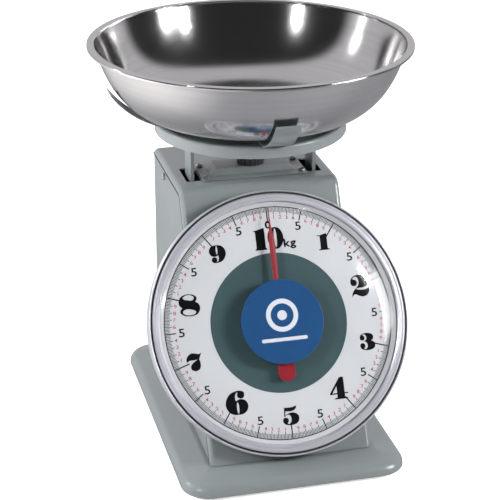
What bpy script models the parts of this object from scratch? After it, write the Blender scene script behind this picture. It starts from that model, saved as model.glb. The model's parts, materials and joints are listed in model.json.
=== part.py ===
"""Mechanical dial platform scale, 10 kg, with a lift-off steel bowl.

Lengths are written in millimetres and become metres when a mesh is made.
X is the scale's right, -Y its front and +Z up. The origin is under the middle of the whole scale,
on the surface it stands on. The pan, its two posts and the springs share one vertical axis,
PAN_Y behind the origin.

The dial has its own frame: x to the right, u up the sloping face, t out of the face.
"""

import math

import bmesh
import bpy
from mathutils import Matrix, Vector

MM = 0.001
GAP = 0.3
SMOOTH_ANGLE = math.radians(35)
HOLE_TURN = 7.0
ROUND_SIDES = 48

# Driving dimensions, millimetres.
PAN_Y = 17.0
TILT = math.radians(28.44)
SIN_TILT = math.sin(TILT)
COS_TILT = math.cos(TILT)

PINION_TEETH = 10
MODULE = 0.7
PITCH_RADIUS = MODULE * PINION_TEETH / 2
TRAVEL = 2 * math.pi * PITCH_RADIUS * COS_TILT

BASE_HALF_WIDTH = 98.0
BASE_FRONT = -157.2
BASE_REAR = 125.9
BASE_CORNER = 25.0
BASE_LOW = 4.0
BASE_TOP = 18.0
BASE_EDGE = 9.0
BASE_EDGE_Z = 5.0
BASE_SHOULDER = 24.0
BASE_SHEET = 1.2
FOOT_X = 78.0
FOOT_INSET_Y = 19.0
FOOT_TOP = 12.0

CASE_HALF_WIDTH = 71.2
CASE_TOP = 226.5
CASE_REAR = 100.8
CASE_LOW = BASE_TOP + GAP
CASE_FRONT_AT_TOP = -17.3
CASE_BEND = 12.0
CASE_REAR_BEND = 8.0
CASE_EDGE = 4.5
CASE_SHEET = 1.0
CASE_LIP = 5.0
PANEL_INSET = 5.4
PANEL_OUT = 70.6
PANEL_IN = 69.4

DIAL_CENTRE = (0.0, -84.3, 124.2)
BEZEL_RADIUS = 113.8
DRUM_RADIUS = 112.8
DRUM_BACK = -9.9
DIAL_PLATE_RADIUS = 111.4
WINDOW_RADIUS = 104.9
WINDOW_EDGE = 5.3
WINDOW_CROWN = 15.6
WINDOW_SHEET = 1.3
BADGE_RADIUS = 36.0

POST_X = 55.0
POST_THICK = 3.0
POST_HALF_DEPTH = 12.0
POST_LOW = 62.0
SLOT_X = (48.0, 61.0)
SLOT_Y = (1.0, 35.0)

RING_RADIUS = 83.8
RING_LOW = 266.9
RING_TOP = 277.0
RING_FLOOR = 269.5
RING_BAND = 6.0
RING_SHEET = 1.5

CRADLE_LOW = RING_TOP + GAP
CRADLE_TOP = 278.7
CRADLE_REACH = 83.0
CLIP_HALF_WIDTH = 10.6
CLIP_SHEET = 1.4
CLIP_ROOT = 84.0
CLIP_TIP = (124.5, 307.5)
CLIP_BEND = 37.0
BOWL_LOW = CRADLE_TOP + GAP
BOWL_TOP = 345.3
BOWL_RADIUS = 140.3
BOWL_SHEET = 0.8

LINK_LENGTH = 60.0
LINK_PIVOT_Y = PAN_Y + LINK_LENGTH
LINK_HEIGHTS = {"upper": 140.0, "lower": 60.0}
LINK_REST = math.atan(TRAVEL / 2 / LINK_LENGTH)
LINK_X = (46.5, 49.5)
PIN_RADIUS = 2.0
PIN_HOLE = 2.4

SPRING_X = 24.0
SPRING_COIL = 8.0
SPRING_WIRE = 1.0
SPRING_EYE_Z = 190.0
CROSSBAR_Z = (84.0, 98.0)
CROSSBAR_Y = (15.0, 19.0)
SPRING_FOOT_Z = 93.0

KNOB_FLUTES = 20
SHELF_TOP = 202.8
BEAM_Z = (206.0, 210.0)
DRIVE_Z = 163.0
POINTER_T = (6.0, 6.8)
PINION_T = (-34.0, -26.0)
BRACKET_FRONT_T = (-13.0, -11.5)
BRACKET_REAR_T = (-41.0, -39.5)
SHAFT_RADIUS = 1.6
BUSH_BORE = 1.95


# ---------------------------------------------------------------- materials

def material(name, color, roughness, metallic=0.0, alpha=1.0):
    made = bpy.data.materials.new(name)
    made.use_nodes = True
    shader = made.node_tree.nodes["Principled BSDF"]
    shader.inputs["Base Color"].default_value = (*color, 1.0)
    shader.inputs["Roughness"].default_value = roughness
    shader.inputs["Metallic"].default_value = metallic
    shader.inputs["Alpha"].default_value = alpha
    return made


def paint():
    return material("grey_paint", (0.26, 0.31, 0.30), 0.3)


def steel():
    return material("zinc_steel", (0.58, 0.59, 0.60), 0.35, 1.0)


def brass():
    return material("brass", (0.72, 0.53, 0.22), 0.3, 1.0)


# ---------------------------------------------------------------- frames and parents

def dial_frame():
    """Matrix from the dial's own frame (x, u, t), in metres, to the world."""
    turn = Matrix.Rotation(math.pi / 2 - TILT, 4, "X")
    return Matrix.Translation(Vector(DIAL_CENTRE) * MM) @ turn


def on_axis(x=0.0):
    """Upright frame at z 0 on the pan's vertical axis, or x to the side of it."""
    return Matrix.Translation(Vector((x, PAN_Y, 0.0)) * MM)


def on_dial(x, u, t):
    """World point, in millimetres, of a point in the dial's frame."""
    return (
        DIAL_CENTRE[0] + x,
        DIAL_CENTRE[1] + u * SIN_TILT - t * COS_TILT,
        DIAL_CENTRE[2] + u * COS_TILT + t * SIN_TILT,
    )


def pivot(name, point):
    """An empty on a joint's axis, which carries the pieces that move with that joint."""
    empty = bpy.data.objects.new(name, None)
    empty.empty_display_size = 10 * MM
    empty.location = Vector(point) * MM
    bpy.context.scene.collection.objects.link(empty)
    return empty


def carry(parent, pieces):
    for piece in pieces:
        piece.parent = parent
        piece.matrix_parent_inverse = parent.matrix_basis.inverted()


# ---------------------------------------------------------------- meshes

def add_piece(name, points, faces, look=None, frame=None):
    """A closed mesh object from points in millimetres, shaded smooth across small angles."""
    mesh = bpy.data.meshes.new(name)
    mesh.from_pydata([Vector(p) * MM for p in points], [], faces)
    draft = bmesh.new()
    draft.from_mesh(mesh)
    bmesh.ops.recalc_face_normals(draft, faces=draft.faces)
    draft.to_mesh(mesh)
    draft.free()
    mesh.shade_smooth()
    mesh.set_sharp_from_angle(angle=SMOOTH_ANGLE)
    piece = bpy.data.objects.new(name, mesh)
    if frame is not None:
        piece.matrix_basis = frame
    if look is not None:
        mesh.materials.append(look)
    bpy.context.scene.collection.objects.link(piece)
    return piece


def loft(name, rings, look=None, frame=None):
    """Skin through rings of equal length, capped at both ends."""
    count = len(rings[0])
    points = [point for ring in rings for point in ring]
    last = (len(rings) - 1) * count
    faces = [tuple(range(count)), tuple(range(last, last + count))]
    for low in range(0, last, count):
        for i in range(count):
            j = (i + 1) % count
            faces.append((low + i, low + j, low + count + j, low + count + i))
    return add_piece(name, points, faces, look, frame)


def prism(name, outline, axis, low, high, look=None, frame=None):
    """An outline in the plane across axis, drawn out from low to high along it."""
    def place(a, b, along):
        return {"x": (along, a, b), "y": (a, along, b), "z": (a, b, along)}[axis]

    rings = [[place(a, b, along) for a, b in outline] for along in (low, high)]
    return loft(name, rings, look, frame)


def box(name, low, high, look=None, frame=None):
    outline = [(low[0], low[1]), (high[0], low[1]), (high[0], high[1]), (low[0], high[1])]
    return prism(name, outline, "z", low[2], high[2], look, frame)


def lathe(name, profile, segments, look=None, frame=None):
    """A closed (radius, height) outline turned about the frame's z axis."""
    points = []
    rows = []
    for radius, height in profile:
        if radius < 1e-6:
            rows.append([len(points)] * segments)
            points.append((0.0, 0.0, height))
            continue
        rows.append(list(range(len(points), len(points) + segments)))
        for i in range(segments):
            angle = 2 * math.pi * i / segments
            points.append((radius * math.cos(angle), radius * math.sin(angle), height))
    faces = []
    for row, following in zip(rows, rows[1:] + rows[:1]):
        for i in range(segments):
            j = (i + 1) % segments
            corners = dict.fromkeys((row[i], row[j], following[j], following[i]))
            if len(corners) > 2:
                faces.append(tuple(corners))
    return add_piece(name, points, faces, look, frame)


def wire(name, path, radius, sides, look=None):
    """A round wire swept along a path of points, with flat ends."""
    points = [Vector(p) for p in path]
    rings = []
    side = None
    for i, point in enumerate(points):
        ahead = points[min(i + 1, len(points) - 1)]
        behind = points[max(i - 1, 0)]
        along = (ahead - behind).normalized()
        if side is None:
            side = along.orthogonal().normalized()
        side = (side - along * side.dot(along)).normalized()
        across = along.cross(side)
        ring = []
        for k in range(sides):
            angle = 2 * math.pi * k / sides
            ring.append(point + (side * math.cos(angle) + across * math.sin(angle)) * radius)
        rings.append(ring)
    return loft(name, rings, look)


def arc(centre, radius, start, end, steps):
    """Points on an arc, angles in degrees, ends included."""
    points = []
    for i in range(steps + 1):
        angle = math.radians(start + (end - start) * i / steps)
        points.append((centre[0] + radius * math.cos(angle), centre[1] + radius * math.sin(angle)))
    return points


def circle(radius, sides, centre=(0.0, 0.0), start=0.0):
    return arc(centre, radius, start, start + 360 - 360 / sides, sides - 1)


def facing(point, direction):
    """Frame at a point, in millimetres, whose z axis points along direction."""
    turn = Vector((0, 0, 1)).rotation_difference(Vector(direction)).to_matrix().to_4x4()
    return Matrix.Translation(Vector(point) * MM) @ turn


# ---------------------------------------------------------------- modifiers

def hide_tool(tool):
    tool.hide_render = True
    tool.display_type = "WIRE"


def combine(target, tool, operation):
    hide_tool(tool)
    step = target.modifiers.new(operation.lower(), "BOOLEAN")
    step.operation = operation
    step.object = tool


def cut(target, tool):
    combine(target, tool, "DIFFERENCE")


def fuse(target, tool):
    combine(target, tool, "UNION")


def bevel(piece, width, segments, limit=50):
    step = piece.modifiers.new("bevel", "BEVEL")
    step.width = width * MM
    step.segments = segments
    step.limit_method = "ANGLE"
    step.angle_limit = math.radians(limit)


def drill(targets, point, direction, radius, reach, sides=12):
    """A round hole through the targets, reaching the same length both ways from the point.

    The hole's corners are turned a little, so that none of them lies on a target's edge.
    """
    outline = circle(radius, sides, start=HOLE_TURN)
    for target in targets:
        cut(target, prism("hole", outline, "z", -reach, reach, frame=facing(point, direction)))


# ---------------------------------------------------------------- fasteners

def screw(name, point, direction, through, look, radius=1.5, length=6.0, head=3.0):
    """Pan-head screw whose head stands on point; direction points out of the surface."""
    low = GAP
    profile = [(0, -length), (radius, -length), (radius, low), (head, low),
               (head, low + 0.4 * head), (0, low + 0.75 * head)]
    made = lathe(name, profile, 8, look, facing(point, direction))
    drill(through, point, direction, radius + 1.5 * GAP, length + 1, 8)
    return made


# ---------------------------------------------------------------- base

def rounded_rectangle(offset, height, steps=4):
    """Base outline drawn in by offset, as a ring of points at one height."""
    radius = BASE_CORNER - offset
    x = BASE_HALF_WIDTH - BASE_CORNER
    rear = BASE_REAR - BASE_CORNER
    front = BASE_FRONT + BASE_CORNER
    ring = []
    for centre, start in (((x, rear), 0), ((-x, rear), 90), ((-x, front), 180), ((x, front), 270)):
        ring += arc(centre, radius, start, start + 90, steps)
    return [(a, b, height) for a, b in ring]


def base_section(sheet):
    """Half section of the tray as (offset, height) points, sheet below its outer surface.

    A flat top for the case, a shoulder that slopes down all round, and a rounded edge that it
    meets at a tangent.
    """
    run = BASE_SHOULDER - BASE_EDGE
    rise = BASE_TOP - BASE_EDGE_Z
    slope = math.acos(BASE_EDGE / math.hypot(run, rise)) - math.atan2(run, rise)
    radius = BASE_EDGE - sheet
    section = [(BASE_SHOULDER + sheet * math.tan(slope / 2), BASE_TOP - sheet)]
    for step in range(5):
        bend = slope + (math.pi / 2 - slope) * step / 4
        section.append((BASE_EDGE - radius * math.sin(bend), BASE_EDGE_Z + radius * math.cos(bend)))
    section.append((sheet, BASE_LOW))
    return section


def make_base_pan(look):
    """Pressed tray, upside down, open underneath."""
    section = base_section(0) + base_section(BASE_SHEET)[::-1]
    return loft("base_pan", [rounded_rectangle(*spot) for spot in section], look)


def make_feet(look):
    profile = [(0, 0), (8.0, 0), (9.0, 1.2), (9.0, FOOT_TOP), (0, FOOT_TOP)]
    rear = BASE_REAR - FOOT_INSET_Y
    front = BASE_FRONT + FOOT_INSET_Y
    corners = [(-FOOT_X, front), (FOOT_X, front), (-FOOT_X, rear), (FOOT_X, rear)]
    for i, (x, y) in enumerate(corners, start=1):
        place = Matrix.Translation(Vector((x, y, 0)) * MM)
        lathe(f"rubber_foot_{i}", profile, 16, look, place)


# ---------------------------------------------------------------- case

def front_y(height):
    """Y of the case's sloping front at a height."""
    return CASE_FRONT_AT_TOP - (CASE_TOP - height) * SIN_TILT / COS_TILT


def case_outline(inset, rear, rear_bend, low):
    """Side view of the case as (y, z) points: front slope, rounded bend, flat top, upright rear."""
    bend_z = CASE_TOP - CASE_BEND
    bend_y = front_y(bend_z) + CASE_BEND / COS_TILT
    outline = [(front_y(low) + inset / COS_TILT, low)]
    outline += arc((bend_y, bend_z), CASE_BEND - inset, 180 - math.degrees(TILT), 90, 6)
    if rear_bend:
        centre = (rear - rear_bend + inset, CASE_TOP - rear_bend)
        outline += arc(centre, rear_bend - inset, 90, 0, 3)
    else:
        outline.append((rear, CASE_TOP - inset))
    outline.append((rear, low))
    return outline


def make_front_cover(look):
    """One bent sheet: the sloping front and the top, with narrow lips turned down the sides."""
    deep = CASE_LOW - 15
    half = CASE_HALF_WIDTH
    outline = case_outline(0, CASE_REAR, CASE_REAR_BEND, deep)
    cover = prism("front_cover", outline, "x", -half, half, look)
    bevel(cover, CASE_EDGE, 3)
    hollow_rear = CASE_REAR - CASE_SHEET
    hollow = prism("case_hollow", case_outline(CASE_SHEET, hollow_rear, CASE_REAR_BEND, deep - 5),
                   "x", -half + CASE_SHEET, half - CASE_SHEET)
    bevel(hollow, CASE_EDGE - CASE_SHEET, 3)
    cut(cover, hollow)
    window = case_outline(CASE_LIP, CASE_REAR + 10, 0, deep - 10)
    cut(cover, prism("case_side_window", window, "x", -half - 10, half + 10))
    cut(cover, box("case_trim", (-half - 10, -200, deep - 20), (half + 10, 200, CASE_LOW)))
    for side in (-1, 1):
        xs = sorted((side * SLOT_X[0], side * SLOT_X[1]))
        slot = box("post_slot", (xs[0], SLOT_Y[0], CASE_TOP - 5), (xs[1], SLOT_Y[1], CASE_TOP + 5))
        cut(cover, slot)
    cut(cover, box("hanger_opening", (-33, 9, CASE_TOP - 5), (33, 27, CASE_TOP + 5)))
    drill([cover], on_dial(0, 0, -11), (0, -COS_TILT, SIN_TILT), 8.0, 8.0, 24)
    return cover


def make_side_panels(look):
    outline = case_outline(PANEL_INSET, CASE_REAR - 0.2, 0, CASE_LOW + GAP)
    left = prism("side_panel_left", outline, "x", -PANEL_OUT, -PANEL_IN, look)
    right = prism("side_panel_right", outline, "x", PANEL_IN, PANEL_OUT, look)
    return left, right


def make_rear_cover(look):
    """Flat rear sheet between the side panels, with a flange turned forward at each side."""
    half = PANEL_IN - 0.5
    sheet = 1.2
    front = 84.0
    back = CASE_REAR - 0.4
    outline = [(-half, front), (-half, back), (half, back), (half, front), (half - sheet, front),
               (half - sheet, back - sheet), (-half + sheet, back - sheet), (-half + sheet, front)]
    low = CASE_LOW + GAP
    return prism("rear_cover", outline, "z", low, CASE_TOP - PANEL_INSET, look)


def make_spring_cover(look):
    """Screwed-on plate over the spring hanger: flat border, raised middle with sloping ends."""
    def ring(half_x, front, rear, height):
        return [(-half_x, front, height), (half_x, front, height),
                (half_x, rear, height), (-half_x, rear, height)]

    low = CASE_TOP + GAP
    sheet = 1.2
    top = low + 7.2
    rings = [
        ring(33.0, 8.0, 28.0, top), ring(38.0, 6.0, 30.0, low + sheet),
        ring(47.0, -3.0, 37.0, low + sheet), ring(47.0, -3.0, 37.0, low),
        ring(36.8, 7.2, 28.8, low), ring(32.0, 9.2, 26.8, top - sheet),
    ]
    plate = loft("spring_cover_plate", rings, look)
    drill([plate], (0, PAN_Y, top), (0, 0, 1), 3.6, 5)
    return plate


# ---------------------------------------------------------------- dial

def make_dial_drum(look):
    wall = DRUM_RADIUS - 1.0
    profile = [
        (8.0, DRUM_BACK), (DRUM_RADIUS - 3, DRUM_BACK), (DRUM_RADIUS, DRUM_BACK + 3),
        (DRUM_RADIUS, 1.5), (wall, 1.5), (wall, -1.3), (108.0, -1.3),
        (wall, DRUM_BACK + 3.4), (DRUM_RADIUS - 3.4, DRUM_BACK + 1), (8.0, DRUM_BACK + 1),
    ]
    return lathe("dial_drum", profile, ROUND_SIDES, look, dial_frame())


def make_dial_plate(look):
    profile = [(4.0, -0.9), (DIAL_PLATE_RADIUS, -0.9), (DIAL_PLATE_RADIUS, 0), (4.0, 0)]
    return lathe("dial_plate", profile, ROUND_SIDES, look, dial_frame())


def make_bezel(look):
    """Rolled ring with a straight skirt over the drum and a stepped face over the window's edge."""
    edge = BEZEL_RADIUS
    skirt = edge - 0.7
    profile = [
        (edge, -6.0), (edge, 3.2), (edge - 0.8, 5.4), (edge - 2.0, 6.2), (edge - 2.4, 5.4),
        (edge - 2.8, 6.4), (108.0, 7.2), (103.8, 6.8), (103.8, 5.9), (110.4, 5.4), (110.9, 4.5),
        (112.2, 4.5), (skirt, 2.8), (skirt, -6.0),
    ]
    return lathe("bezel_ring", profile, ROUND_SIDES, look, dial_frame())


def window_height(radius):
    """Outer height of the window at a radius: nearly flat in the middle, steep at the edge."""
    return WINDOW_CROWN - (WINDOW_CROWN - WINDOW_EDGE) * (radius / WINDOW_RADIUS) ** 6


def make_window(look):
    steps = 5
    outer = []
    for i in range(steps + 1):
        radius = WINDOW_RADIUS * math.sin(math.pi / 2 * i / steps)
        outer.append((radius, window_height(radius)))
    inner = [(radius, height - WINDOW_SHEET) for radius, height in reversed(outer)]
    return lathe("window", outer + inner, ROUND_SIDES, look, dial_frame())


def make_badge(look):
    low = 11.2
    profile = [(0, low), (BADGE_RADIUS, low), (BADGE_RADIUS, low + 0.9),
               (BADGE_RADIUS - 0.6, low + 1.5), (0, low + 1.5)]
    return lathe("window_badge", profile, 36, look, dial_frame())


# ---------------------------------------------------------------- pointer and rack

def make_pointer(look):
    """Flat needle with a leaf-shaped middle and a round-ended tail."""
    right = [(0.25, 98.0), (0.7, 84.0), (2.9, 71.0), (2.2, 30.0), (2.4, 7.6)]
    hub = arc((0, 0), 8.0, 72, -52, 6)
    tail = [(4.6, -20.0)] + arc((0, -43.0), 7.5, 0, -90, 5)
    half = right + hub + tail
    outline = half + [(-x, u) for x, u in reversed(half[:-1])]
    blade = prism("pointer", outline, "z", *POINTER_T, look, dial_frame())
    drill([blade], on_dial(0, 0, POINTER_T[0]), (0, -COS_TILT, SIN_TILT), BUSH_BORE, 2)
    return blade


def make_pointer_hub(look):
    low = POINTER_T[1] + GAP
    top = low + 2.4
    profile = [(BUSH_BORE, low), (5.0, low), (4.2, top), (BUSH_BORE, top)]
    return lathe("pointer_hub", profile, 14, look, dial_frame())


def pinion_outline():
    """Straight-flanked teeth around the pitch circle, one tooth pointing along +x."""
    tip = PITCH_RADIUS + 0.55
    root = PITCH_RADIUS - 0.80
    outline = []
    for tooth in range(PINION_TEETH):
        middle = 360 / PINION_TEETH * tooth
        for radius, half in ((root, 11.0), (PITCH_RADIUS, 6.0), (tip, 2.0)):
            outline.append((radius, middle - half))
        for radius, half in ((tip, 2.0), (PITCH_RADIUS, 6.0), (root, 11.0)):
            outline.append((radius, middle + half))
    return [(r * math.cos(math.radians(a)), r * math.sin(math.radians(a))) for r, a in outline]


def make_pinion_shaft(look):
    """Steel arbor with the pinion cut on it."""
    low = BRACKET_REAR_T[0] - 2.0
    top = POINTER_T[1] + 2.5
    profile = [(0, low), (SHAFT_RADIUS, low), (SHAFT_RADIUS, top), (0, top)]
    shaft = lathe("pinion_shaft", profile, 12, look, dial_frame())
    fuse(shaft, prism("pinion", pinion_outline(), "z", *PINION_T, frame=dial_frame()))
    return shaft


def rack_outline():
    """Rack bar as (x, u) points, teeth towards the pinion, a tooth space level with its axis."""
    pitch = math.pi * MODULE
    tip = PITCH_RADIUS - 0.60
    root = PITCH_RADIUS + 0.75
    back = 8.0
    outline = [(back, 66.0), (back, -6.0), (root, -6.0)]
    for tooth in range(-2, 13):
        middle = (tooth + 0.5) * pitch
        outline += [(root, middle - 0.62), (tip, middle - 0.18),
                    (tip, middle + 0.18), (root, middle + 0.62)]
    outline.append((root, 66.0))
    return outline


def drive_point():
    """(y, z) of the drive pin: on the rack's line, level with the arm that carries it."""
    middle = sum(PINION_T) / 2
    up = (DRIVE_Z - on_dial(0, 0, middle)[2]) / COS_TILT
    return on_dial(0, up, middle)[1], DRIVE_Z


def make_rack(look):
    """Toothed bar that slides up and down the slope, with a level slot for the drive pin."""
    rack = prism("rack", rack_outline(), "z", *PINION_T, look, dial_frame())
    y, z = drive_point()
    reach = TRAVEL * SIN_TILT / COS_TILT
    head = [(y - 7, z - 7), (y + reach + 7, z - 7), (y + reach + 7, z + 7), (y - 7, z + 7)]
    fuse(rack, prism("rack_head", head, "x", 4.6, 7.8))
    slot = arc((y, z), PIN_HOLE, 270, 90, 6) + arc((y + reach, z), PIN_HOLE, 90, -90, 6)
    cut(rack, prism("rack_slot", slot, "x", 0, 12))
    return rack


def make_rack_guide(look):
    """Channel behind the rack that holds it against the pinion."""
    front = PINION_T[1] + 0.4
    rear = PINION_T[0] - 0.4
    outline = [(5.6, front), (8.4, front), (8.4, rear), (5.6, rear), (5.6, rear - 1.2),
               (13.6, rear - 1.2), (13.6, front + 1.2), (5.6, front + 1.2)]
    rings = [[(x, u, t) for x, t in outline] for u in (-7.0, 7.0)]
    return loft("rack_guide", rings, look, dial_frame())


def make_gear_bracket(look):
    """Front plate on the case, two legs and a rear plate, which carry the pinion's bushes."""
    frame = dial_frame()
    bracket = box("gear_bracket", (-18, -30, BRACKET_FRONT_T[0]), (18, 30, BRACKET_FRONT_T[1]), look, frame)
    for side in (-1, 1):
        xs = sorted((side * 14.0, side * 15.5))
        fuse(bracket, box("bracket_leg", (xs[0], -12, -41.5), (xs[1], 12, -12.0), frame=frame))
    rear_low = (-14.6, -11.5, BRACKET_REAR_T[0])
    fuse(bracket, box("bracket_rear", rear_low, (14.6, 11.5, BRACKET_REAR_T[1]), frame=frame))
    out = (0, -COS_TILT, SIN_TILT)
    drill([bracket], on_dial(0, 0, -12), out, 4.3, 3, 14)
    drill([bracket], on_dial(0, 0, -40), out, 4.3, 3, 14)
    return bracket


def make_bush(name, plate_back, length, look):
    """Flanged bush pushed through a plate from behind."""
    low = plate_back - GAP
    profile = [(BUSH_BORE, low - 1.1), (6.0, low - 1.1), (6.0, low), (3.9, low),
               (3.9, low + length), (BUSH_BORE, low + length)]
    return lathe(name, profile, 14, look, dial_frame())


# ---------------------------------------------------------------- frame, springs, zero screw

def make_main_frame(look):
    """Gallows frame: two side plates, a rear web, a foot and the shelf the springs hang from."""
    side_view = [(50, CASE_LOW), (86, CASE_LOW), (86, 203), (2, 203), (2, 196), (66, 160),
                 (66, 40), (50, 24)]
    frame = prism("main_frame", side_view, "x", 40.5, 42.0, look)
    fuse(frame, prism("frame_side", side_view, "x", -42.0, -40.5))
    inside = 41.0
    fuse(frame, box("frame_web", (-inside, 83.8, 19.0), (inside, 85.6, 202.0)))
    fuse(frame, box("frame_shelf", (-inside, 2.4, 199.8), (inside, 84.6, SHELF_TOP)))
    fuse(frame, box("frame_foot", (-inside, 50.4, 18.6), (inside, 84.6, 20.6)))
    for side in (-1, 1):
        drill([frame], (side * SPRING_X, PAN_Y, 201), (0, 0, 1), 3.4, 6)
    for height in LINK_HEIGHTS.values():
        drill([frame], (0, LINK_PIVOT_Y, height), (1, 0, 0), PIN_HOLE, 60)
    return frame


def make_hanger_beam(look):
    beam = box("hanger_beam", (-32, 10, BEAM_Z[0]), (32, 24, BEAM_Z[1]), look)
    drill([beam], (0, PAN_Y, BEAM_Z[0]), (0, 0, 1), 3.4, 8)
    return beam


def make_spring_hanger(side, beam, look):
    """Threaded rod down through the beam and the shelf, its flat end drilled for the spring."""
    name = "spring_hanger_left" if side < 0 else "spring_hanger_right"
    x = side * SPRING_X
    rod = lathe(name, [(0, 195), (2.0, 195), (2.0, 217), (0, 217)], 12, look, on_axis(x))
    fuse(rod, box("hanger_tab", (x - 1, PAN_Y - 3.2, 185.5), (x + 1, PAN_Y + 3.2, 197.5)))
    drill([rod], (x, PAN_Y, SPRING_EYE_Z), (1, 0, 0), SPRING_WIRE + 0.5, 4)
    drill([beam], (x, PAN_Y, BEAM_Z[0]), (0, 0, 1), 2.3, 8)
    return rod


def make_nut(side, look):
    name = "calibration_nut_left" if side < 0 else "calibration_nut_right"
    centre = (side * SPRING_X, PAN_Y)
    nut = prism(name, circle(4.6, 6, centre), "z", BEAM_Z[1] + GAP, BEAM_Z[1] + 4.3, look)
    drill([nut], (*centre, BEAM_Z[1]), (0, 0, 1), 2.3, 8)
    return nut


def make_spring(side, look):
    """Open-wound extension spring: a hook through the hanger, the coil, a hook in the crossbar."""
    turns = 9
    steps = 10
    top = SPRING_EYE_Z - 9
    low = SPRING_FOOT_Z + 9
    hook = 3.8
    path = [(-hook, 0, SPRING_EYE_Z), (hook - 1, 0, SPRING_EYE_Z), (hook + 0.6, 0, SPRING_EYE_Z - 1.2),
            (hook + 1, 0, SPRING_EYE_Z - 5)]
    last = turns * steps + steps // 4
    for i in range(last + 1):
        angle = 2 * math.pi * i / steps
        height = top + (low - top) * i / last
        path.append((SPRING_COIL * math.cos(angle), SPRING_COIL * math.sin(angle), height))
    path += [(0, hook + 2, low - 4), (0, hook + 1.2, SPRING_FOOT_Z + 1.2),
             (0, hook, SPRING_FOOT_Z), (0, -hook - 1, SPRING_FOOT_Z)]
    name = "main_spring_left" if side < 0 else "main_spring_right"
    x = side * SPRING_X
    return wire(name, [(x + a, PAN_Y + b, c) for a, b, c in path], SPRING_WIRE, 5, look)


def make_zero_knob(look):
    """Fluted knob on the screw that lifts or lowers the hanger beam to bring the pointer to zero."""
    foot = SHELF_TOP + GAP
    low = CASE_TOP + GAP + 7.2 + GAP
    top = low + 8.5
    place = on_axis()
    rings = []
    for radius, height in ((12.0, low), (12.0, top - 1.2), (10.8, top)):
        ring = []
        for i in range(2 * KNOB_FLUTES):
            angle = math.pi * i / KNOB_FLUTES
            reach = radius - 0.7 * (i % 2)
            ring.append((reach * math.cos(angle), reach * math.sin(angle), height))
        rings.append(ring)
    knob = loft("zero_adjust_knob", rings, look, place)
    fuse(knob, prism("knob_screw", circle(3.0, 12, start=HOLE_TURN), "z", foot, low + 2, frame=place))
    return knob


# ---------------------------------------------------------------- links

def make_link(level, look):
    """Yoke that keeps the posts upright: two arms, joined near the frame by a web."""
    pivot_z = LINK_HEIGHTS[level]
    turn = (Matrix.Translation(Vector((0, LINK_PIVOT_Y, pivot_z)) * MM)
            @ Matrix.Rotation(-LINK_REST, 4, "X"))
    front = -LINK_LENGTH - 0.4
    outline = arc((front, 0), 6.0, 270, 90, 4) + arc((0, 0), 6.0, 90, -90, 4)
    link = prism(f"{level}_guide_link", outline, "x", *LINK_X, look, turn)
    fuse(link, prism("link_arm", outline, "x", -LINK_X[1], -LINK_X[0], frame=turn))
    reach = LINK_X[0] + 0.8
    fuse(link, box("link_web", (-reach, -17, -4), (reach, -14, 4), frame=turn))
    slot = [(front + 2.9 * a, 2.4 * b) for a, b in circle(1.0, 12)]
    cut(link, prism("link_slot", slot, "x", -60, 60, frame=turn))
    cut(link, prism("link_bore", circle(PIN_HOLE, 12), "x", -60, 60, frame=turn))
    return link


def make_link_pin(level, look):
    profile = [(0, -52), (PIN_RADIUS, -52), (PIN_RADIUS, 52), (0, 52)]
    centre = (0, LINK_PIVOT_Y, LINK_HEIGHTS[level])
    return lathe(f"{level}_link_pin", profile, 12, look, facing(centre, (1, 0, 0)))


# ---------------------------------------------------------------- platform

def make_platform_ring(look):
    """Round pan seat: a rolled band around a flat floor."""
    band = RING_RADIUS - RING_BAND
    inside = band + RING_SHEET
    outside = RING_RADIUS - RING_SHEET
    under = RING_FLOOR - RING_SHEET
    roof = RING_TOP - RING_SHEET
    profile = [
        (0, under), (inside, under), (inside, roof), (outside, roof), (outside, RING_LOW),
        (RING_RADIUS, RING_LOW), (RING_RADIUS, RING_TOP - 1.2), (RING_RADIUS - 1.2, RING_TOP),
        (band + 1.0, RING_TOP), (band, RING_TOP - 1.0), (band, RING_FLOOR), (0, RING_FLOOR),
    ]
    return lathe("platform_ring", profile, ROUND_SIDES, look, on_axis())


def clip_outline():
    """Side view (radius, height) of a clip: a strip that curves up outside the bowl."""
    inside = CRADLE_REACH - 13.0
    low = CRADLE_LOW + 0.1
    start = Vector((CLIP_ROOT, low))
    chord = Vector(CLIP_TIP) - start
    bend = math.radians(CLIP_BEND)
    radius = chord.length / (2 * math.sin(bend / 2))
    slope = math.atan2(chord.y, chord.x) - bend / 2
    centre = start + radius * Vector((-math.sin(slope), math.cos(slope)))
    first = math.degrees(slope) - 90
    outer = arc(centre, radius, first, first + CLIP_BEND, 6)
    inner = arc(centre, radius - CLIP_SHEET, first + CLIP_BEND, first, 6)
    return [(inside, low)] + outer + inner + [(inside, CRADLE_TOP - 0.1)]


def make_bowl_cradle(look):
    """Cross of spring strip on the pan seat, its four ends turned up as clips for the bowl."""
    half = CLIP_HALF_WIDTH + 0.4
    outline = []
    for quarter in range(4):
        for a, b in ((half, half), (CRADLE_REACH, half), (CRADLE_REACH, -half)):
            turn = math.radians(-90 * quarter)
            outline.append((a * math.cos(turn) - b * math.sin(turn),
                            PAN_Y + a * math.sin(turn) + b * math.cos(turn)))
    cradle = prism("bowl_cradle", outline, "z", CRADLE_LOW, CRADLE_TOP, look)
    for quarter in range(4):
        turn = on_axis() @ Matrix.Rotation(math.radians(90 * quarter), 4, "Z")
        rings = [[(r, y, z) for r, z in clip_outline()]
                 for y in (-CLIP_HALF_WIDTH, CLIP_HALF_WIDTH)]
        fuse(cradle, loft("bowl_clip", rings, frame=turn))
    return cradle


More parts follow.
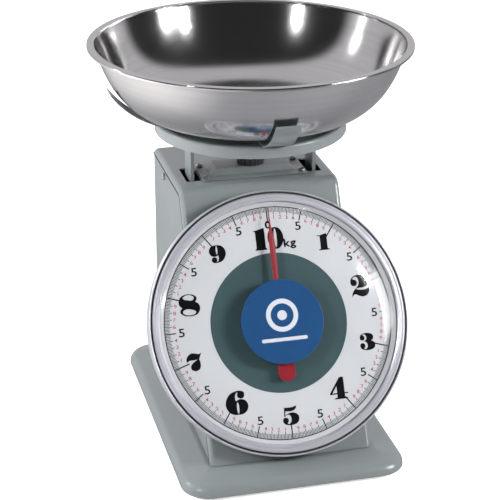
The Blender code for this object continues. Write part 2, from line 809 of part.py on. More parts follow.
def make_post(side, look):
    """Flat bar from the pan seat down into the case, with two studs for the guide links."""
    name = "platform_post_left" if side < 0 else "platform_post_right"
    half = POST_THICK / 2
    x = side * POST_X
    top = RING_FLOOR - RING_SHEET - GAP
    post = box(name, (x - half, PAN_Y - POST_HALF_DEPTH, POST_LOW),
               (x + half, PAN_Y + POST_HALF_DEPTH, top), look)
    foot = sorted((x - side * 0.5, x - side * 14))
    fuse(post, box("post_foot", (foot[0], PAN_Y - POST_HALF_DEPTH + 1, top - 2.4),
                   (foot[1], PAN_Y + POST_HALF_DEPTH - 1, top - 0.2)))
    for height in LINK_HEIGHTS.values():
        centre = (side * (LINK_X[0] + 3.5), PAN_Y, height + TRAVEL / 2)
        stud = [(0, -4.3), (PIN_RADIUS, -4.3), (PIN_RADIUS, 4.3), (0, 4.3)]
        fuse(post, lathe("post_stud", stud, 12, frame=facing(centre, (1, 0, 0))))
    return post


def make_crossbar(look):
    """Flat bar between the posts that the lower spring hooks pull on."""
    half = POST_X - POST_THICK / 2 - GAP
    bar = box("load_crossbar", (-half, CROSSBAR_Y[0], CROSSBAR_Z[0]),
              (half, CROSSBAR_Y[1], CROSSBAR_Z[1]), look)
    for side in (-1, 1):
        drill([bar], (side * SPRING_X, PAN_Y, SPRING_FOOT_Z), (0, 1, 0), SPRING_WIRE + 0.5, 4)
    return bar


def make_drive_arm(look):
    """Flat arm from the right post to the rack's drive pin."""
    outer = POST_X - POST_THICK / 2 - GAP
    y, z = drive_point()
    outline = arc((y, z), 6.0, 270, 90, 6) + [(29, z + 6), (29, z - 6)]
    arm = prism("rack_drive_arm", outline, "x", outer - 3, outer, look)
    drill([arm], (outer - 2, y, z), (1, 0, 0), PIN_RADIUS + GAP, 4)
    return arm


def make_drive_pin(look):
    outer = POST_X - POST_THICK / 2 - GAP
    y, z = drive_point()
    profile = [(0, 0), (PIN_RADIUS, 0), (PIN_RADIUS, outer - 1.5), (0, outer - 1.5)]
    return lathe("rack_drive_pin", profile, 12, look, facing((1.5, y, z), (1, 0, 0)))


# ---------------------------------------------------------------- bowl

def bowl_curve(steps):
    """Outer wall of the bowl as (radius, height, normal) along one cubic curve."""
    start = Vector((54.7, BOWL_LOW))
    leave = start + Vector((62.2, 0))
    end = Vector((134.6, BOWL_TOP - 2.0))
    arrive = end - 24.8 * Vector((math.sin(0.37), math.cos(0.37)))
    curve = []
    for i in range(steps + 1):
        s = i / steps
        r = 1 - s
        point = start * r ** 3 + leave * 3 * s * r * r + arrive * 3 * s * s * r + end * s ** 3
        slope = (leave - start) * r * r + (arrive - leave) * 2 * s * r + (end - arrive) * s * s
        slope.normalize()
        curve.append((point, Vector((-slope.y, slope.x))))
    return curve


def make_bowl(look):
    """Spun bowl: flat bottom, curved wall, rim turned outwards."""
    curve = bowl_curve(8)
    outer = [(point.x, point.y) for point, _ in curve]
    inner = [(point.x + normal.x * BOWL_SHEET, point.y + normal.y * BOWL_SHEET)
             for point, normal in reversed(curve)]
    top = BOWL_TOP
    edge = BOWL_RADIUS
    rim = [(edge - 1.0, top - 1.2), (edge - 1.0, top - 2.6), (edge, top - 2.6),
           (edge, top - 0.9), (edge - 0.8, top), (edge - 5.4, top)]
    profile = [(0, BOWL_LOW)] + outer + rim + inner + [(0, BOWL_LOW + BOWL_SHEET)]
    return lathe("weighing_bowl", profile, ROUND_SIDES, look, on_axis())


# ---------------------------------------------------------------- fasteners in place

def fasten_case(panels, rear, cover, plate, look):
    for side, panel in ((-1, panels[0]), (1, panels[1])):
        word = "left" if side < 0 else "right"
        spots = (("top", 52.0, 214.0, [panel]), ("rear", 90.0, 60.0, [panel, rear]))
        for spot, y, z, through in spots:
            screw(f"side_screw_{word}_{spot}", (side * PANEL_OUT, y, z), (side, 0, 0), through, look)
    corners = ((-47.0, 34.0), (47.0, 34.0), (-47.0, 208.0), (47.0, 208.0))
    for i, (x, z) in enumerate(corners, start=1):
        screw(f"rear_screw_{i}", (x, CASE_REAR - 0.4, z), (0, 1, 0), [rear], look)
    corners = ((-43.0, 2.0), (43.0, 2.0), (-43.0, 32.0), (43.0, 32.0))
    for i, (x, y) in enumerate(corners, start=1):
        point = (x, y, CASE_TOP + GAP + 1.2)
        screw(f"cover_plate_screw_{i}", point, (0, 0, 1), [plate, cover], look)


def fasten_drum(drum, cover, bracket, look):
    out = (0, -COS_TILT, SIN_TILT)
    for word, u in (("top", 24.0), ("bottom", -24.0)):
        point = on_dial(0, u, DRUM_BACK + 1)
        screw(f"drum_screw_{word}", point, out, [drum, cover, bracket], look)


def fasten_frame(base, frame, look):
    for word, x in (("left", -30.0), ("right", 30.0)):
        screw(f"frame_bolt_{word}", (x, 60.0, 20.6), (0, 0, 1), [base, frame], look, 2.0, 8.0, 4.0)


# ---------------------------------------------------------------- assembly

def make_case(steel_look):
    cover = make_front_cover(paint())
    panels = make_side_panels(paint())
    rear = make_rear_cover(paint())
    plate = make_spring_cover(paint())
    fasten_case(panels, rear, cover, plate, steel_look)
    return cover


def make_dial():
    drum = make_dial_drum(paint())
    make_dial_plate(material("dial_white", (0.85, 0.86, 0.86), 0.4))
    make_bezel(material("bright_ring", (0.72, 0.73, 0.75), 0.15, 1.0))
    make_window(material("clear_window", (0.95, 0.96, 0.97), 0.05, alpha=0.15))
    make_badge(material("blue_badge", (0.02, 0.12, 0.42), 0.25))
    return drum


def make_mechanism(steel_look):
    bracket = make_gear_bracket(steel_look)
    make_bush("shaft_bush_front", BRACKET_FRONT_T[0], 1.7, brass())
    make_bush("shaft_bush_rear", BRACKET_REAR_T[0], 3.0, brass())
    make_rack_guide(brass())
    for side in (-1, 1):
        make_spring(side, material("spring_steel", (0.35, 0.36, 0.38), 0.3, 1.0))
    for level in LINK_HEIGHTS:
        make_link_pin(level, steel_look)
    return bracket


def make_zero_adjuster(steel_look):
    knob_pivot = pivot("zero_knob_pivot", (0, PAN_Y, BEAM_Z[0]))
    carry(knob_pivot, [make_zero_knob(material("black_knob", (0.02, 0.02, 0.02), 0.4))])
    beam = make_hanger_beam(steel_look)
    hung = [beam]
    for side in (-1, 1):
        hung.append(make_spring_hanger(side, beam, steel_look))
        hung.append(make_nut(side, steel_look))
    carry(pivot("hanger_pivot", (0, PAN_Y, BEAM_Z[0])), hung)


def make_moving_parts(steel_look):
    platform = [make_platform_ring(paint()), make_bowl_cradle(paint()), make_crossbar(steel_look),
                make_drive_arm(steel_look), make_drive_pin(steel_look)]
    for side in (-1, 1):
        platform.append(make_post(side, paint()))
    carry(pivot("platform_pivot", (0, PAN_Y, RING_LOW)), platform)
    for level, height in LINK_HEIGHTS.items():
        link = make_link(level, steel_look)
        carry(pivot(f"{level}_link_pivot", (0, LINK_PIVOT_Y, height)), [link])
    carry(pivot("rack_pivot", on_dial(0, 0, PINION_T[0])), [make_rack(brass())])
    turning = [make_pointer(material("red_pointer", (0.55, 0.02, 0.03), 0.3)),
               make_pointer_hub(brass()), make_pinion_shaft(steel_look)]
    carry(pivot("pointer_pivot", DIAL_CENTRE), turning)
    bowl = make_bowl(material("stainless", (0.62, 0.61, 0.60), 0.2, 1.0))
    carry(pivot("bowl_pivot", (0, PAN_Y, BOWL_LOW)), [bowl])


def build():
    for old in list(bpy.data.objects):
        bpy.data.objects.remove(old, do_unlink=True)
    steel_look = steel()
    base = make_base_pan(paint())
    make_feet(material("rubber", (0.02, 0.02, 0.02), 0.8))
    cover = make_case(steel_look)
    drum = make_dial()
    bracket = make_mechanism(steel_look)
    frame = make_main_frame(steel_look)
    fasten_drum(drum, cover, bracket, steel_look)
    fasten_frame(base, frame, steel_look)
    make_zero_adjuster(steel_look)
    make_moving_parts(steel_look)


build()
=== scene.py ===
"""The looks of the dial platform scale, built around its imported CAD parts.

Lengths are written in millimetres and become metres when a mesh is made. Places come from the
frame. The dial has its own frame: x to the right, u up the sloping face, t out of the face.
"""

import json
import math

import bmesh
import bpy
from mathutils import Matrix, Vector


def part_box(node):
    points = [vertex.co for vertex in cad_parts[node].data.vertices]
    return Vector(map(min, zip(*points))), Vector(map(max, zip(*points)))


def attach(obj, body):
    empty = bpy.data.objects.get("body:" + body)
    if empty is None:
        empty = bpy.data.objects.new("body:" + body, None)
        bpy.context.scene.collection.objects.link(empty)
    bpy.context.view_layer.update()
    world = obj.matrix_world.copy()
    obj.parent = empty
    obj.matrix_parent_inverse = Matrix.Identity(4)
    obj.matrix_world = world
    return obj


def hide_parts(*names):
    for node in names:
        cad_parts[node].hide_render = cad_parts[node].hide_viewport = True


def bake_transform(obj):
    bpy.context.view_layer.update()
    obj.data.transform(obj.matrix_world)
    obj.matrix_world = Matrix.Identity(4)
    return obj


MM = 0.001
SMOOTH_ANGLE = math.radians(38)
WIDE_ANGLE = math.radians(50)
ROUND = 160
FINE_ROUND = 224

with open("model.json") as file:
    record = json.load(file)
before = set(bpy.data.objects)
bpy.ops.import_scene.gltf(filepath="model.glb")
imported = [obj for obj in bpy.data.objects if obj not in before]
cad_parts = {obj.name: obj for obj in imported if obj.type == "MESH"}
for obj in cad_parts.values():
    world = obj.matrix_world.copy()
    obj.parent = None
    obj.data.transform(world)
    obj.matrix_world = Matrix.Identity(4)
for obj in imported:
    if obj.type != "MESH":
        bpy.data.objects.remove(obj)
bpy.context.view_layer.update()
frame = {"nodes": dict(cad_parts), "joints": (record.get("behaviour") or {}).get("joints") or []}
NODES = frame["nodes"]
replaced = set()
JOINTS = {joint["name"]: joint for joint in frame["joints"]}


# ---- places from the frame

def box(node):
    """Lowest and highest corner of a CAD node, in millimetres."""
    low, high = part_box(node)
    return low / MM, high / MM


def at(x, y, z):
    """A move given in millimetres."""
    return Matrix.Translation(Vector((x, y, z)) * MM)


def dial_matrix():
    """From the dial's frame, in metres, to the world. The pointer's axis points into the dial."""
    joint = JOINTS["pointer_turn"]
    out = -Vector(joint["axis"]).normalized()
    side = Vector((1, 0, 0))
    up = out.cross(side)
    turn = Matrix((side, up, out)).transposed().to_4x4()
    return Matrix.Translation(Vector(joint["pos_m"])) @ turn


DIAL = dial_matrix()
TILT = math.asin(DIAL[1][1])
SIN_TILT = math.sin(TILT)
COS_TILT = math.cos(TILT)
PAN_Y = (box("weighing_bowl")[0].y + box("weighing_bowl")[1].y) / 2
PAN = at(0, PAN_Y, 0)
BASE_LOW, BASE_HIGH = box("base_pan")
CASE_LOW, CASE_HIGH = box("front_cover")


def dial_span(node):
    """Largest radius and lowest and highest t of a node in the dial's frame, in millimetres."""
    inverse = DIAL.inverted()
    spots = [inverse @ vertex.co / MM for vertex in NODES[node].data.vertices]
    heights = [spot.z for spot in spots]
    return max(spot.xy.length for spot in spots), min(heights), max(heights)


# ---- outlines

def arc(centre, radius, start, end, steps):
    """Points on an arc, angles in degrees, ends included."""
    points = []
    for i in range(steps + 1):
        angle = math.radians(start + (end - start) * i / steps)
        points.append((centre[0] + radius * math.cos(angle), centre[1] + radius * math.sin(angle)))
    return points


def oval(centre, reach, start=0, end=360, steps=32):
    """Points on an upright ellipse; a full turn leaves out the repeated last point."""
    points = [(centre[0] + reach[0] * x, centre[1] + reach[1] * y)
              for x, y in arc((0, 0), 1, start, end, steps)]
    return points[:-1] if abs(end - start) == 360 else points


def rounded(corners, steps=5):
    """A closed outline from (x, y, radius) corners, each rounded by a tangent arc."""
    outline = []
    count = len(corners)
    for i, (x, y, radius) in enumerate(corners):
        here = Vector((x, y))
        before = Vector(corners[i - 1][:2]) - here
        after = Vector(corners[(i + 1) % count][:2]) - here
        if radius <= 0:
            outline.append((x, y))
            continue
        before.normalize()
        after.normalize()
        half = before.angle(after) / 2
        centre = here + (before + after).normalized() * radius / math.sin(half)
        first = here + before * radius / math.tan(half) - centre
        last = here + after * radius / math.tan(half) - centre
        turn = math.atan2(first.x * last.y - first.y * last.x, first.dot(last))
        for k in range(steps + 1):
            spot = first.copy()
            spot.rotate(Matrix.Rotation(turn * k / steps, 2))
            outline.append(tuple(centre + spot))
    return outline


def oblong(left, right, front, rear, corner):
    """Corners of an upright rectangle, for rounding."""
    return [(left, front, corner), (right, front, corner), (right, rear, corner), (left, rear, corner)]


def smooth(points, steps=6):
    """A Catmull-Rom curve through an open run of points, without its last point."""
    spots = [Vector(points[0])] + [Vector(p) for p in points] + [Vector(points[-1])]
    curve = []
    for a, b, c, d in zip(spots, spots[1:], spots[2:], spots[3:]):
        for i in range(steps):
            s = i / steps
            spot = b * 2 + (c - a) * s
            spot += (a * 2 - b * 5 + c * 4 - d) * s ** 2
            spot += (b * 3 - a - c * 3 + d) * s ** 3
            curve.append(tuple(spot / 2))
    return curve


# ---- meshes

def add_object(name, data):
    made = bpy.data.objects.new(name, data)
    bpy.context.scene.collection.objects.link(made)
    return made


def evaluated_mesh(holder):
    """An object's shape, with its modifiers applied, as a new mesh."""
    graph = bpy.context.evaluated_depsgraph_get()
    return bpy.data.meshes.new_from_object(holder.evaluated_get(graph))


def clean(mesh):
    """Merges doubled points and turns all faces outwards."""
    draft = bmesh.new()
    draft.from_mesh(mesh)
    bmesh.ops.remove_doubles(draft, verts=draft.verts, dist=1e-6)
    bmesh.ops.recalc_face_normals(draft, faces=draft.faces)
    draft.to_mesh(mesh)
    draft.free()


def finish(piece, look, body, *nodes, angle=SMOOTH_ANGLE):
    """Settles and shades a piece, gives it its look, its body and the CAD nodes that it replaces."""
    if piece.modifiers:
        settled = evaluated_mesh(piece)
        piece.modifiers.clear()
        piece.data = settled
    clean(piece.data)
    piece.data.materials.clear()
    piece.data.materials.append(look)
    piece.data.shade_smooth()
    piece.data.set_sharp_from_angle(angle=angle)
    even_flats(piece, True)
    if body:
        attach(piece, body)
    if nodes:
        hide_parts(*nodes)
        replaced.update(nodes)
    return piece


def even_flats(piece, keep_sharp):
    weigh = piece.modifiers.new("even_flats", "WEIGHTED_NORMAL")
    weigh.keep_sharp = keep_sharp


def solid(name, points, faces, place=None):
    mesh = bpy.data.meshes.new(name)
    mesh.from_pydata([Vector(p) * MM for p in points], [], faces)
    if place is not None:
        mesh.transform(place)
    clean(mesh)
    return add_object(name, mesh)


def loft(name, rings, place=None):
    """Skin through rings of equal length, capped at both ends."""
    count = len(rings[0])
    points = [point for ring in rings for point in ring]
    faces = []
    last = (len(rings) - 1) * count
    for low in range(0, last, count):
        high = low + count
        for i in range(count):
            j = (i + 1) % count
            faces.append((low + i, low + j, high + j, high + i))
    faces.append(tuple(range(count)))
    faces.append(tuple(range(last, last + count)))
    return solid(name, points, faces, place)


def prism(name, outline, axis, low, high, place=None):
    """An outline drawn across the x or the z axis, between two places along it."""
    ends = [[(c, a, b) if axis == "x" else (a, b, c) for a, b in outline] for c in (low, high)]
    return loft(name, ends, place)


def lathe(name, profile, place=None, segments=ROUND):
    """A closed (radius, height) outline turned about the place's z axis."""
    points = []
    rows = []
    for radius, height in profile:
        if radius < 1e-6:
            rows.append([len(points)] * segments)
            points.append((0.0, 0.0, height))
            continue
        rows.append(list(range(len(points), len(points) + segments)))
        for i in range(segments):
            angle = 2 * math.pi * i / segments
            points.append((radius * math.cos(angle), radius * math.sin(angle), height))
    faces = []
    for row, following in zip(rows, rows[1:] + rows[:1]):
        for i in range(segments):
            j = (i + 1) % segments
            corners = dict.fromkeys((row[i], row[j], following[j], following[i]))
            if len(corners) > 2:
                faces.append(tuple(corners))
    return solid(name, points, faces, place)


def rod(name, radius, low, high, place, segments=32):
    return lathe(name, [(0, low), (radius, low), (radius, high), (0, high)], place, segments)


def join(target, tool, operation="UNION"):
    """Combines a tool's shape into the target, and removes the tool."""
    step = target.modifiers.new("join", "BOOLEAN")
    step.operation = operation
    step.object = tool
    target.data = evaluated_mesh(target)
    target.modifiers.clear()
    bpy.data.objects.remove(tool)


def cut(target, tool):
    join(target, tool, "DIFFERENCE")


def bevel(piece, width, segments, limit):
    """Rounds edges sharper than a limit in degrees."""
    step = piece.modifiers.new("bevel", "BEVEL")
    step.width = width * MM
    step.segments = segments
    step.limit_method = "ANGLE"
    step.angle_limit = math.radians(limit)


# ---- materials

def start_material(name, color, roughness, metallic=0.0):
    made = bpy.data.materials.new(name)
    made.use_nodes = True
    shader = made.node_tree.nodes["Principled BSDF"]
    shader.inputs["Base Color"].default_value = (*color, 1.0)
    shader.inputs["Roughness"].default_value = roughness
    shader.inputs["Metallic"].default_value = metallic
    return made, made.node_tree, shader


def add_node(tree, kind, inputs=None, **settings):
    """Makes a node, with inputs that are links or plain values, and returns its outputs."""
    node = tree.nodes.new("ShaderNode" + kind)
    for key, value in settings.items():
        setattr(node, key, value)
    feed(tree, node, inputs or {})
    return node.outputs


def feed(tree, node, inputs):
    for key, value in inputs.items():
        if isinstance(value, bpy.types.NodeSocket):
            tree.links.new(value, node.inputs[key])
        else:
            node.inputs[key].default_value = value


def maths(tree, operation, a, b, use_clamp=False):
    return add_node(tree, "Math", {0: a, 1: b}, operation=operation, use_clamp=use_clamp)["Value"]


def place_vector(tree, stretch=(1.0, 1.0, 1.0)):
    """The piece's own coordinates in metres, stretched."""
    spot = add_node(tree, "TexCoord")["Object"]
    return add_node(tree, "Mapping", {"Vector": spot, "Scale": stretch})["Vector"]


def split(tree, vector):
    return add_node(tree, "SeparateXYZ", {"Vector": vector})


def noise(tree, scale, detail, vector=None):
    inputs = {"Scale": scale, "Detail": detail, "Vector": vector or place_vector(tree)}
    return add_node(tree, "TexNoise", inputs)["Fac"]


def ranged(tree, value, low, high):
    """A 0 to 1 value spread between low and high."""
    inputs = {"Value": value, "To Min": low, "To Max": high}
    return add_node(tree, "MapRange", inputs)["Result"]


def rising(tree, value, low, high, amount):
    """Grows smoothly from 0 to amount while a value goes from low to high."""
    inputs = {"Value": value, "From Min": low, "From Max": high, "To Max": amount}
    return add_node(tree, "MapRange", inputs, interpolation_type="SMOOTHSTEP")["Result"]


def blended(tree, factor, color_a, color_b, blend_type="MIX"):
    """Two colours mixed by a factor; each is three numbers or another node's output."""
    inputs = {"Factor": factor}
    for key, color in ((6, color_a), (7, color_b)):
        inputs[key] = color if isinstance(color, bpy.types.NodeSocket) else (*color, 1.0)
    return add_node(tree, "Mix", inputs, data_type="RGBA", blend_type=blend_type)[2]


def mixed_shaders(tree, factor, shader_a, shader_b):
    return add_node(tree, "MixShader", {0: factor, 1: shader_a, 2: shader_b})["Shader"]


def shaded(tree, factor, color, shade):
    """A colour drifting between itself and a darker tone of it."""
    return blended(tree, factor, tuple(channel * shade for channel in color), color)


def bumped(tree, height, distance, strength):
    inputs = {"Height": height, "Distance": distance * MM, "Strength": strength}
    return add_node(tree, "Bump", inputs)["Normal"]


def enamel(name, color, shade):
    """Gloss stove enamel: faint mottling, orange peel, and painted shade in the corners."""
    made, tree, shader = start_material(name, color, 0.32)
    tone = shaded(tree, noise(tree, 9, 0), color, shade)
    # Ambient occlusion darkens the colour in corners and recesses: painted shade.
    corners = add_node(tree, "AmbientOcclusion", {"Distance": 5 * MM}, samples=4)
    feed(tree, shader, {
        "Base Color": blended(tree, 0.35, tone, corners["Color"], "MULTIPLY"),
        "Roughness": ranged(tree, noise(tree, 30, 0), 0.28, 0.36),
        "Coat Weight": 0.35,
        "Coat Roughness": 0.10,
        "Normal": bumped(tree, noise(tree, 160, 0), 0.015, 0.2),
    })
    return made


def spun_steel(name, color, low_roughness, high_roughness):
    """Polished steel with fine rings of turning marks about the upright axis."""
    made, tree, shader = start_material(name, color, low_roughness, 1.0)
    parts = split(tree, place_vector(tree))
    shifted = maths(tree, "SUBTRACT", parts["Y"], PAN_Y * MM)
    flat = add_node(tree, "CombineXYZ", {"X": parts["X"], "Y": shifted})
    radius = add_node(tree, "VectorMath", {0: flat["Vector"]}, operation="LENGTH")
    rings = add_node(tree, "CombineXYZ", {"X": radius["Value"], "Y": parts["Z"]})
    marks = noise(tree, 1500, 4, rings["Vector"])
    bands = noise(tree, 240, 3, rings["Vector"])
    around = add_node(tree, "Tangent", direction_type="RADIAL", axis="Z")
    feed(tree, shader, {
        "Base Color": shaded(tree, bands, color, 0.84),
        "Roughness": ranged(tree, noise(tree, 14, 4), low_roughness, high_roughness),
        "Anisotropic": 0.7,
        "Anisotropic Rotation": 0.25,
        "Tangent": around["Tangent"],
        "Normal": bumped(tree, marks, 0.004, 0.35),
    })
    return made


def plain_metal(name, color, roughness):
    """Plated or turned metal with cloudy roughness and fine scratches."""
    made, tree, shader = start_material(name, color, roughness, 1.0)
    clouds = noise(tree, 180, 5)
    scratches = noise(tree, 2200, 2, place_vector(tree, (1, 1, 0.12)))
    feed(tree, shader, {
        "Base Color": shaded(tree, clouds, color, 0.82),
        "Roughness": ranged(tree, clouds, roughness * 0.75, roughness * 1.3),
        "Normal": bumped(tree, scratches, 0.006, 0.4),
    })
    return made


def bright_plating(name, color):
    """Bright plated ring: an even soft polish with a faint cloudiness."""
    made, tree, shader = start_material(name, color, 0.32, 0.7)
    clouds = noise(tree, 60, 2)
    feed(tree, shader, {
        "Base Color": shaded(tree, clouds, color, 0.93),
        "Roughness": ranged(tree, clouds, 0.29, 0.35),
    })
    return made


def moulded(name, color, roughness, bump=0.01, sheen=0.5):
    """Plastic, rubber or printed card: faint colour drift and a fine skin."""
    made, tree, shader = start_material(name, color, roughness)
    feed(tree, shader, {
        "Specular IOR Level": sheen,
        "Base Color": shaded(tree, noise(tree, 40, 4), color, 0.92),
        "Roughness": ranged(tree, noise(tree, 150, 3), roughness * 0.85, roughness * 1.15),
        "Normal": bumped(tree, noise(tree, 900, 2), bump, 0.4),
    })
    return made


def clear_cover(name):
    """Clear moulded cover: reflections grow towards its edge, and light passes straight through."""
    made = bpy.data.materials.new(name)
    made.use_nodes = True
    tree = made.node_tree
    tree.nodes.remove(tree.nodes["Principled BSDF"])
    # The grey tint of the transparent part dims the dial seen and lit through the cover: painted shade in
    # place of less light inside.
    through = add_node(tree, "BsdfTransparent", {"Color": (0.85, 0.855, 0.86, 1)})
    gloss = add_node(tree, "BsdfGlossy", {
        "Roughness": 0.12,
        "Color": (1, 1, 1, 1),
        "Normal": bumped(tree, noise(tree, 55, 2), 0.05, 0.25),
    })
    edge = add_node(tree, "Fresnel", {"IOR": 1.42})
    path = add_node(tree, "LightPath")
    side = add_node(tree, "NewGeometry")
    seen = maths(tree, "MULTIPLY", edge["Fac"], path["Is Camera Ray"])
    outside = maths(tree, "SUBTRACT", seen, side["Backfacing"], True)
    mix = mixed_shaders(tree, outside, through["BSDF"], gloss["BSDF"])
    feed(tree, tree.nodes["Material Output"], {"Surface": mix})
    return made


PAINT = enamel("grey_green_enamel", (0.135, 0.150, 0.152), 0.95)
STAINLESS = spun_steel("spun_stainless", (0.68, 0.67, 0.67), 0.06, 0.24)
BRIGHT = bright_plating("polished_ring", (0.58, 0.58, 0.64))
ZINC = plain_metal("zinc_plate", (0.62, 0.63, 0.64), 0.40)
BRASS = plain_metal("turned_brass", (0.74, 0.56, 0.26), 0.38)
SPRING = plain_metal("oiled_spring_wire", (0.38, 0.39, 0.41), 0.20)
# Black rubber for the feet; the same black also fills the bezel groove and the panel seams as painted
# shade.
RUBBER_AND_PAINTED_SHADE = moulded("black_rubber_and_painted_shade", (0.018, 0.018, 0.018), 0.75, 0.03)
KNOB = moulded("black_knob_plastic", (0.02, 0.02, 0.022), 0.38)
WHITE = moulded("dial_white_print", (0.68, 0.685, 0.70), 0.42, sheen=0.2)
TEAL = moulded("dial_teal_print", (0.061, 0.106, 0.112), 0.42, sheen=0.15)
INK = moulded("dial_black_print", (0.006, 0.006, 0.007), 0.42, sheen=0.08)
RED_INK = moulded("dial_red_print", (0.50, 0.07, 0.09), 0.45, sheen=0.1)
BLUE = moulded("blue_badge_plastic", (0.018, 0.085, 0.235), 0.22)
BADGE_WHITE = moulded("badge_white_print", (0.80, 0.81, 0.86), 0.35)
RED = moulded("pointer_red_enamel", (0.32, 0.014, 0.024), 0.34)
CLEAR = clear_cover("clear_cover")


# ---- base

BASE_EDGE = 9.0
BASE_EDGE_Z = 5.0
BASE_SHOULDER = 24.0
BASE_CORNER = 25.0


def base_ring(offset, height):
    """Base outline drawn in by offset, as a ring of points at one height."""
    xs = (BASE_LOW.x + BASE_CORNER, BASE_HIGH.x - BASE_CORNER)
    ys = (BASE_LOW.y + BASE_CORNER, BASE_HIGH.y - BASE_CORNER)
    ring = []
    for start, i, j in ((0, 1, 1), (90, 0, 1), (180, 0, 0), (270, 1, 0)):
        ring += arc((xs[i], ys[j]), BASE_CORNER - offset, start, start + 90, 14)
    return [(a, b, height) for a, b in ring]


def base_section(sheet):
    """Half section of the tray, sheet below its outer surface: flat top, shoulder, rounded edge."""
    top = BASE_HIGH.z
    run = BASE_SHOULDER - BASE_EDGE
    rise = top - BASE_EDGE_Z
    slope = math.acos(BASE_EDGE / math.hypot(run, rise)) - math.atan2(run, rise)
    blend = 2.0
    shoulder = BASE_SHOULDER + sheet * math.tan(slope / 2)
    section = [(shoulder + blend / 2, top - sheet)]
    section.append((shoulder, top - sheet - 0.1))
    section.append((shoulder - blend / 2, top - sheet - blend / 2 * math.tan(slope)))
    radius = BASE_EDGE - sheet
    for step in range(13):
        bend = slope + (math.pi / 2 - slope) * step / 12
        section.append((BASE_EDGE - radius * math.sin(bend), BASE_EDGE_Z + radius * math.cos(bend)))
    section.append((sheet, BASE_LOW.z + 0.3))
    return section


def make_base():
    """Pressed tray: flat top, shoulders sloping down all round, rounded edge, open underneath."""
    low = BASE_LOW.z
    hem = [(0.2, low), (1.0, low)]
    section = base_section(0) + hem + base_section(1.2)[::-1]
    base = loft("base_pan_shell", [base_ring(*spot) for spot in section])
    for node in ("frame_bolt_left", "frame_bolt_right"):
        low_corner, high_corner = box(node)
        middle = (low_corner + high_corner) / 2
        cut(base, rod("hole", 2.6, 0, 30, at(middle.x, middle.y, 0), 24))
    finish(base, PAINT, "base", "base_pan", angle=WIDE_ANGLE)


def make_feet():
    for i in range(1, 5):
        node = f"rubber_foot_{i}"
        low, high = box(node)
        radius = (high.x - low.x) / 2
        top = high.z - 0.05
        profile = rounded([(0, 0, 0), (radius - 1.4, 0, 1.0), (radius, 2.2, 1.5), (radius, top, 0.6),
                           (0, top, 0)])
        place = at((low.x + high.x) / 2, (low.y + high.y) / 2, low.z)
        finish(lathe(f"foot_pad_{i}", profile, place, 48), RUBBER_AND_PAINTED_SHADE, "base", node)


# ---- case

CASE_HALF = CASE_HIGH.x
CASE_TOP = CASE_HIGH.z
CASE_FLOOR = CASE_LOW.z
CASE_REAR = CASE_HIGH.y
CASE_BEND = 12.0
CASE_REAR_BEND = 8.0
CASE_EDGE = 4.5
CASE_SHEET = 1.0
CASE_LIP = 5.0
SEAM = 2.6
POST_SLOT_X = (48.0, 61.0)
POST_SLOT_Y = (1.0, 35.0)
POST_SLOT_CORNER = 1.2
HANGER_OPENING_X = (-33.0, 33.0)
HANGER_OPENING_Y = (9.0, 27.0)


def front_y(height):
    """Where the sloping front is at a height."""
    return CASE_LOW.y + (height - CASE_FLOOR) * SIN_TILT / COS_TILT


def bend_centre():
    """Centre, in side view, of the bend between the front and the top."""
    height = CASE_TOP - CASE_BEND
    return front_y(height) + CASE_BEND / COS_TILT, height


def case_path():
    """Side view of the wrap as (y, z) stations, from the base to the rear lip, each with its step inwards.

    The step is level where the front is cut off by the base, and square to the sheet everywhere else.
    """
    slope = 180 - math.degrees(TILT)
    path = [((front_y(CASE_FLOOR), CASE_FLOOR), Vector((1 / COS_TILT, 0)))]
    turns = [(bend_centre(), CASE_BEND, slope, 90.0, 16),
             ((CASE_REAR - CASE_REAR_BEND, CASE_TOP - CASE_REAR_BEND), CASE_REAR_BEND, 90.0, 22.0, 8)]
    for centre, radius, start, end, steps in turns:
        for point in arc(centre, radius, start, end, steps):
            path.append((point, (Vector(centre) - Vector(point)).normalized()))
    return path


def wrap_section():
    """Half turned-down sheet across the case as (x, depth) points, a closed outline."""
    corner = (CASE_HALF - CASE_EDGE, CASE_EDGE)
    right = arc(corner, CASE_EDGE, 270, 360, 8)
    right += [(CASE_HALF, CASE_LIP), (CASE_HALF - CASE_SHEET, CASE_LIP)]
    right += arc(corner, CASE_EDGE - CASE_SHEET, 360, 270, 8)
    return right + [(-x, depth) for x, depth in reversed(right)]


def make_wrap():
    """One bent sheet: the sloping front and the top, with narrow lips turned down the sides."""
    section = wrap_section()
    rings = [[(x, y + inward.x * depth, z + inward.y * depth) for x, depth in section]
             for (y, z), inward in case_path()]
    wrap = loft("case_wrap", rings)
    openings = [rounded(oblong(*POST_SLOT_X, *POST_SLOT_Y, POST_SLOT_CORNER))]
    openings.append([(-x, y) for x, y in openings[0]])
    openings.append(rounded(oblong(*HANGER_OPENING_X, *HANGER_OPENING_Y, 0)))
    for outline in openings:
        cut(wrap, prism("opening", outline, "z", CASE_TOP - 3, CASE_TOP + 3))
    cut(wrap, rod("shaft_hole", 8, -20, -2, DIAL))
    finish(wrap, PAINT, "base", "front_cover")


def panel_outline(inset):
    """Side view of a flat sheet, drawn in from the case's outline: up the front and along the top."""
    low = CASE_FLOOR + 0.3
    rear = CASE_REAR - 0.2
    outline = [(front_y(low) + inset / COS_TILT, low)]
    outline += arc(bend_centre(), CASE_BEND - inset, 180 - math.degrees(TILT), 90, 12)
    outline += [(rear, CASE_TOP - inset), (rear, low)]
    return outline


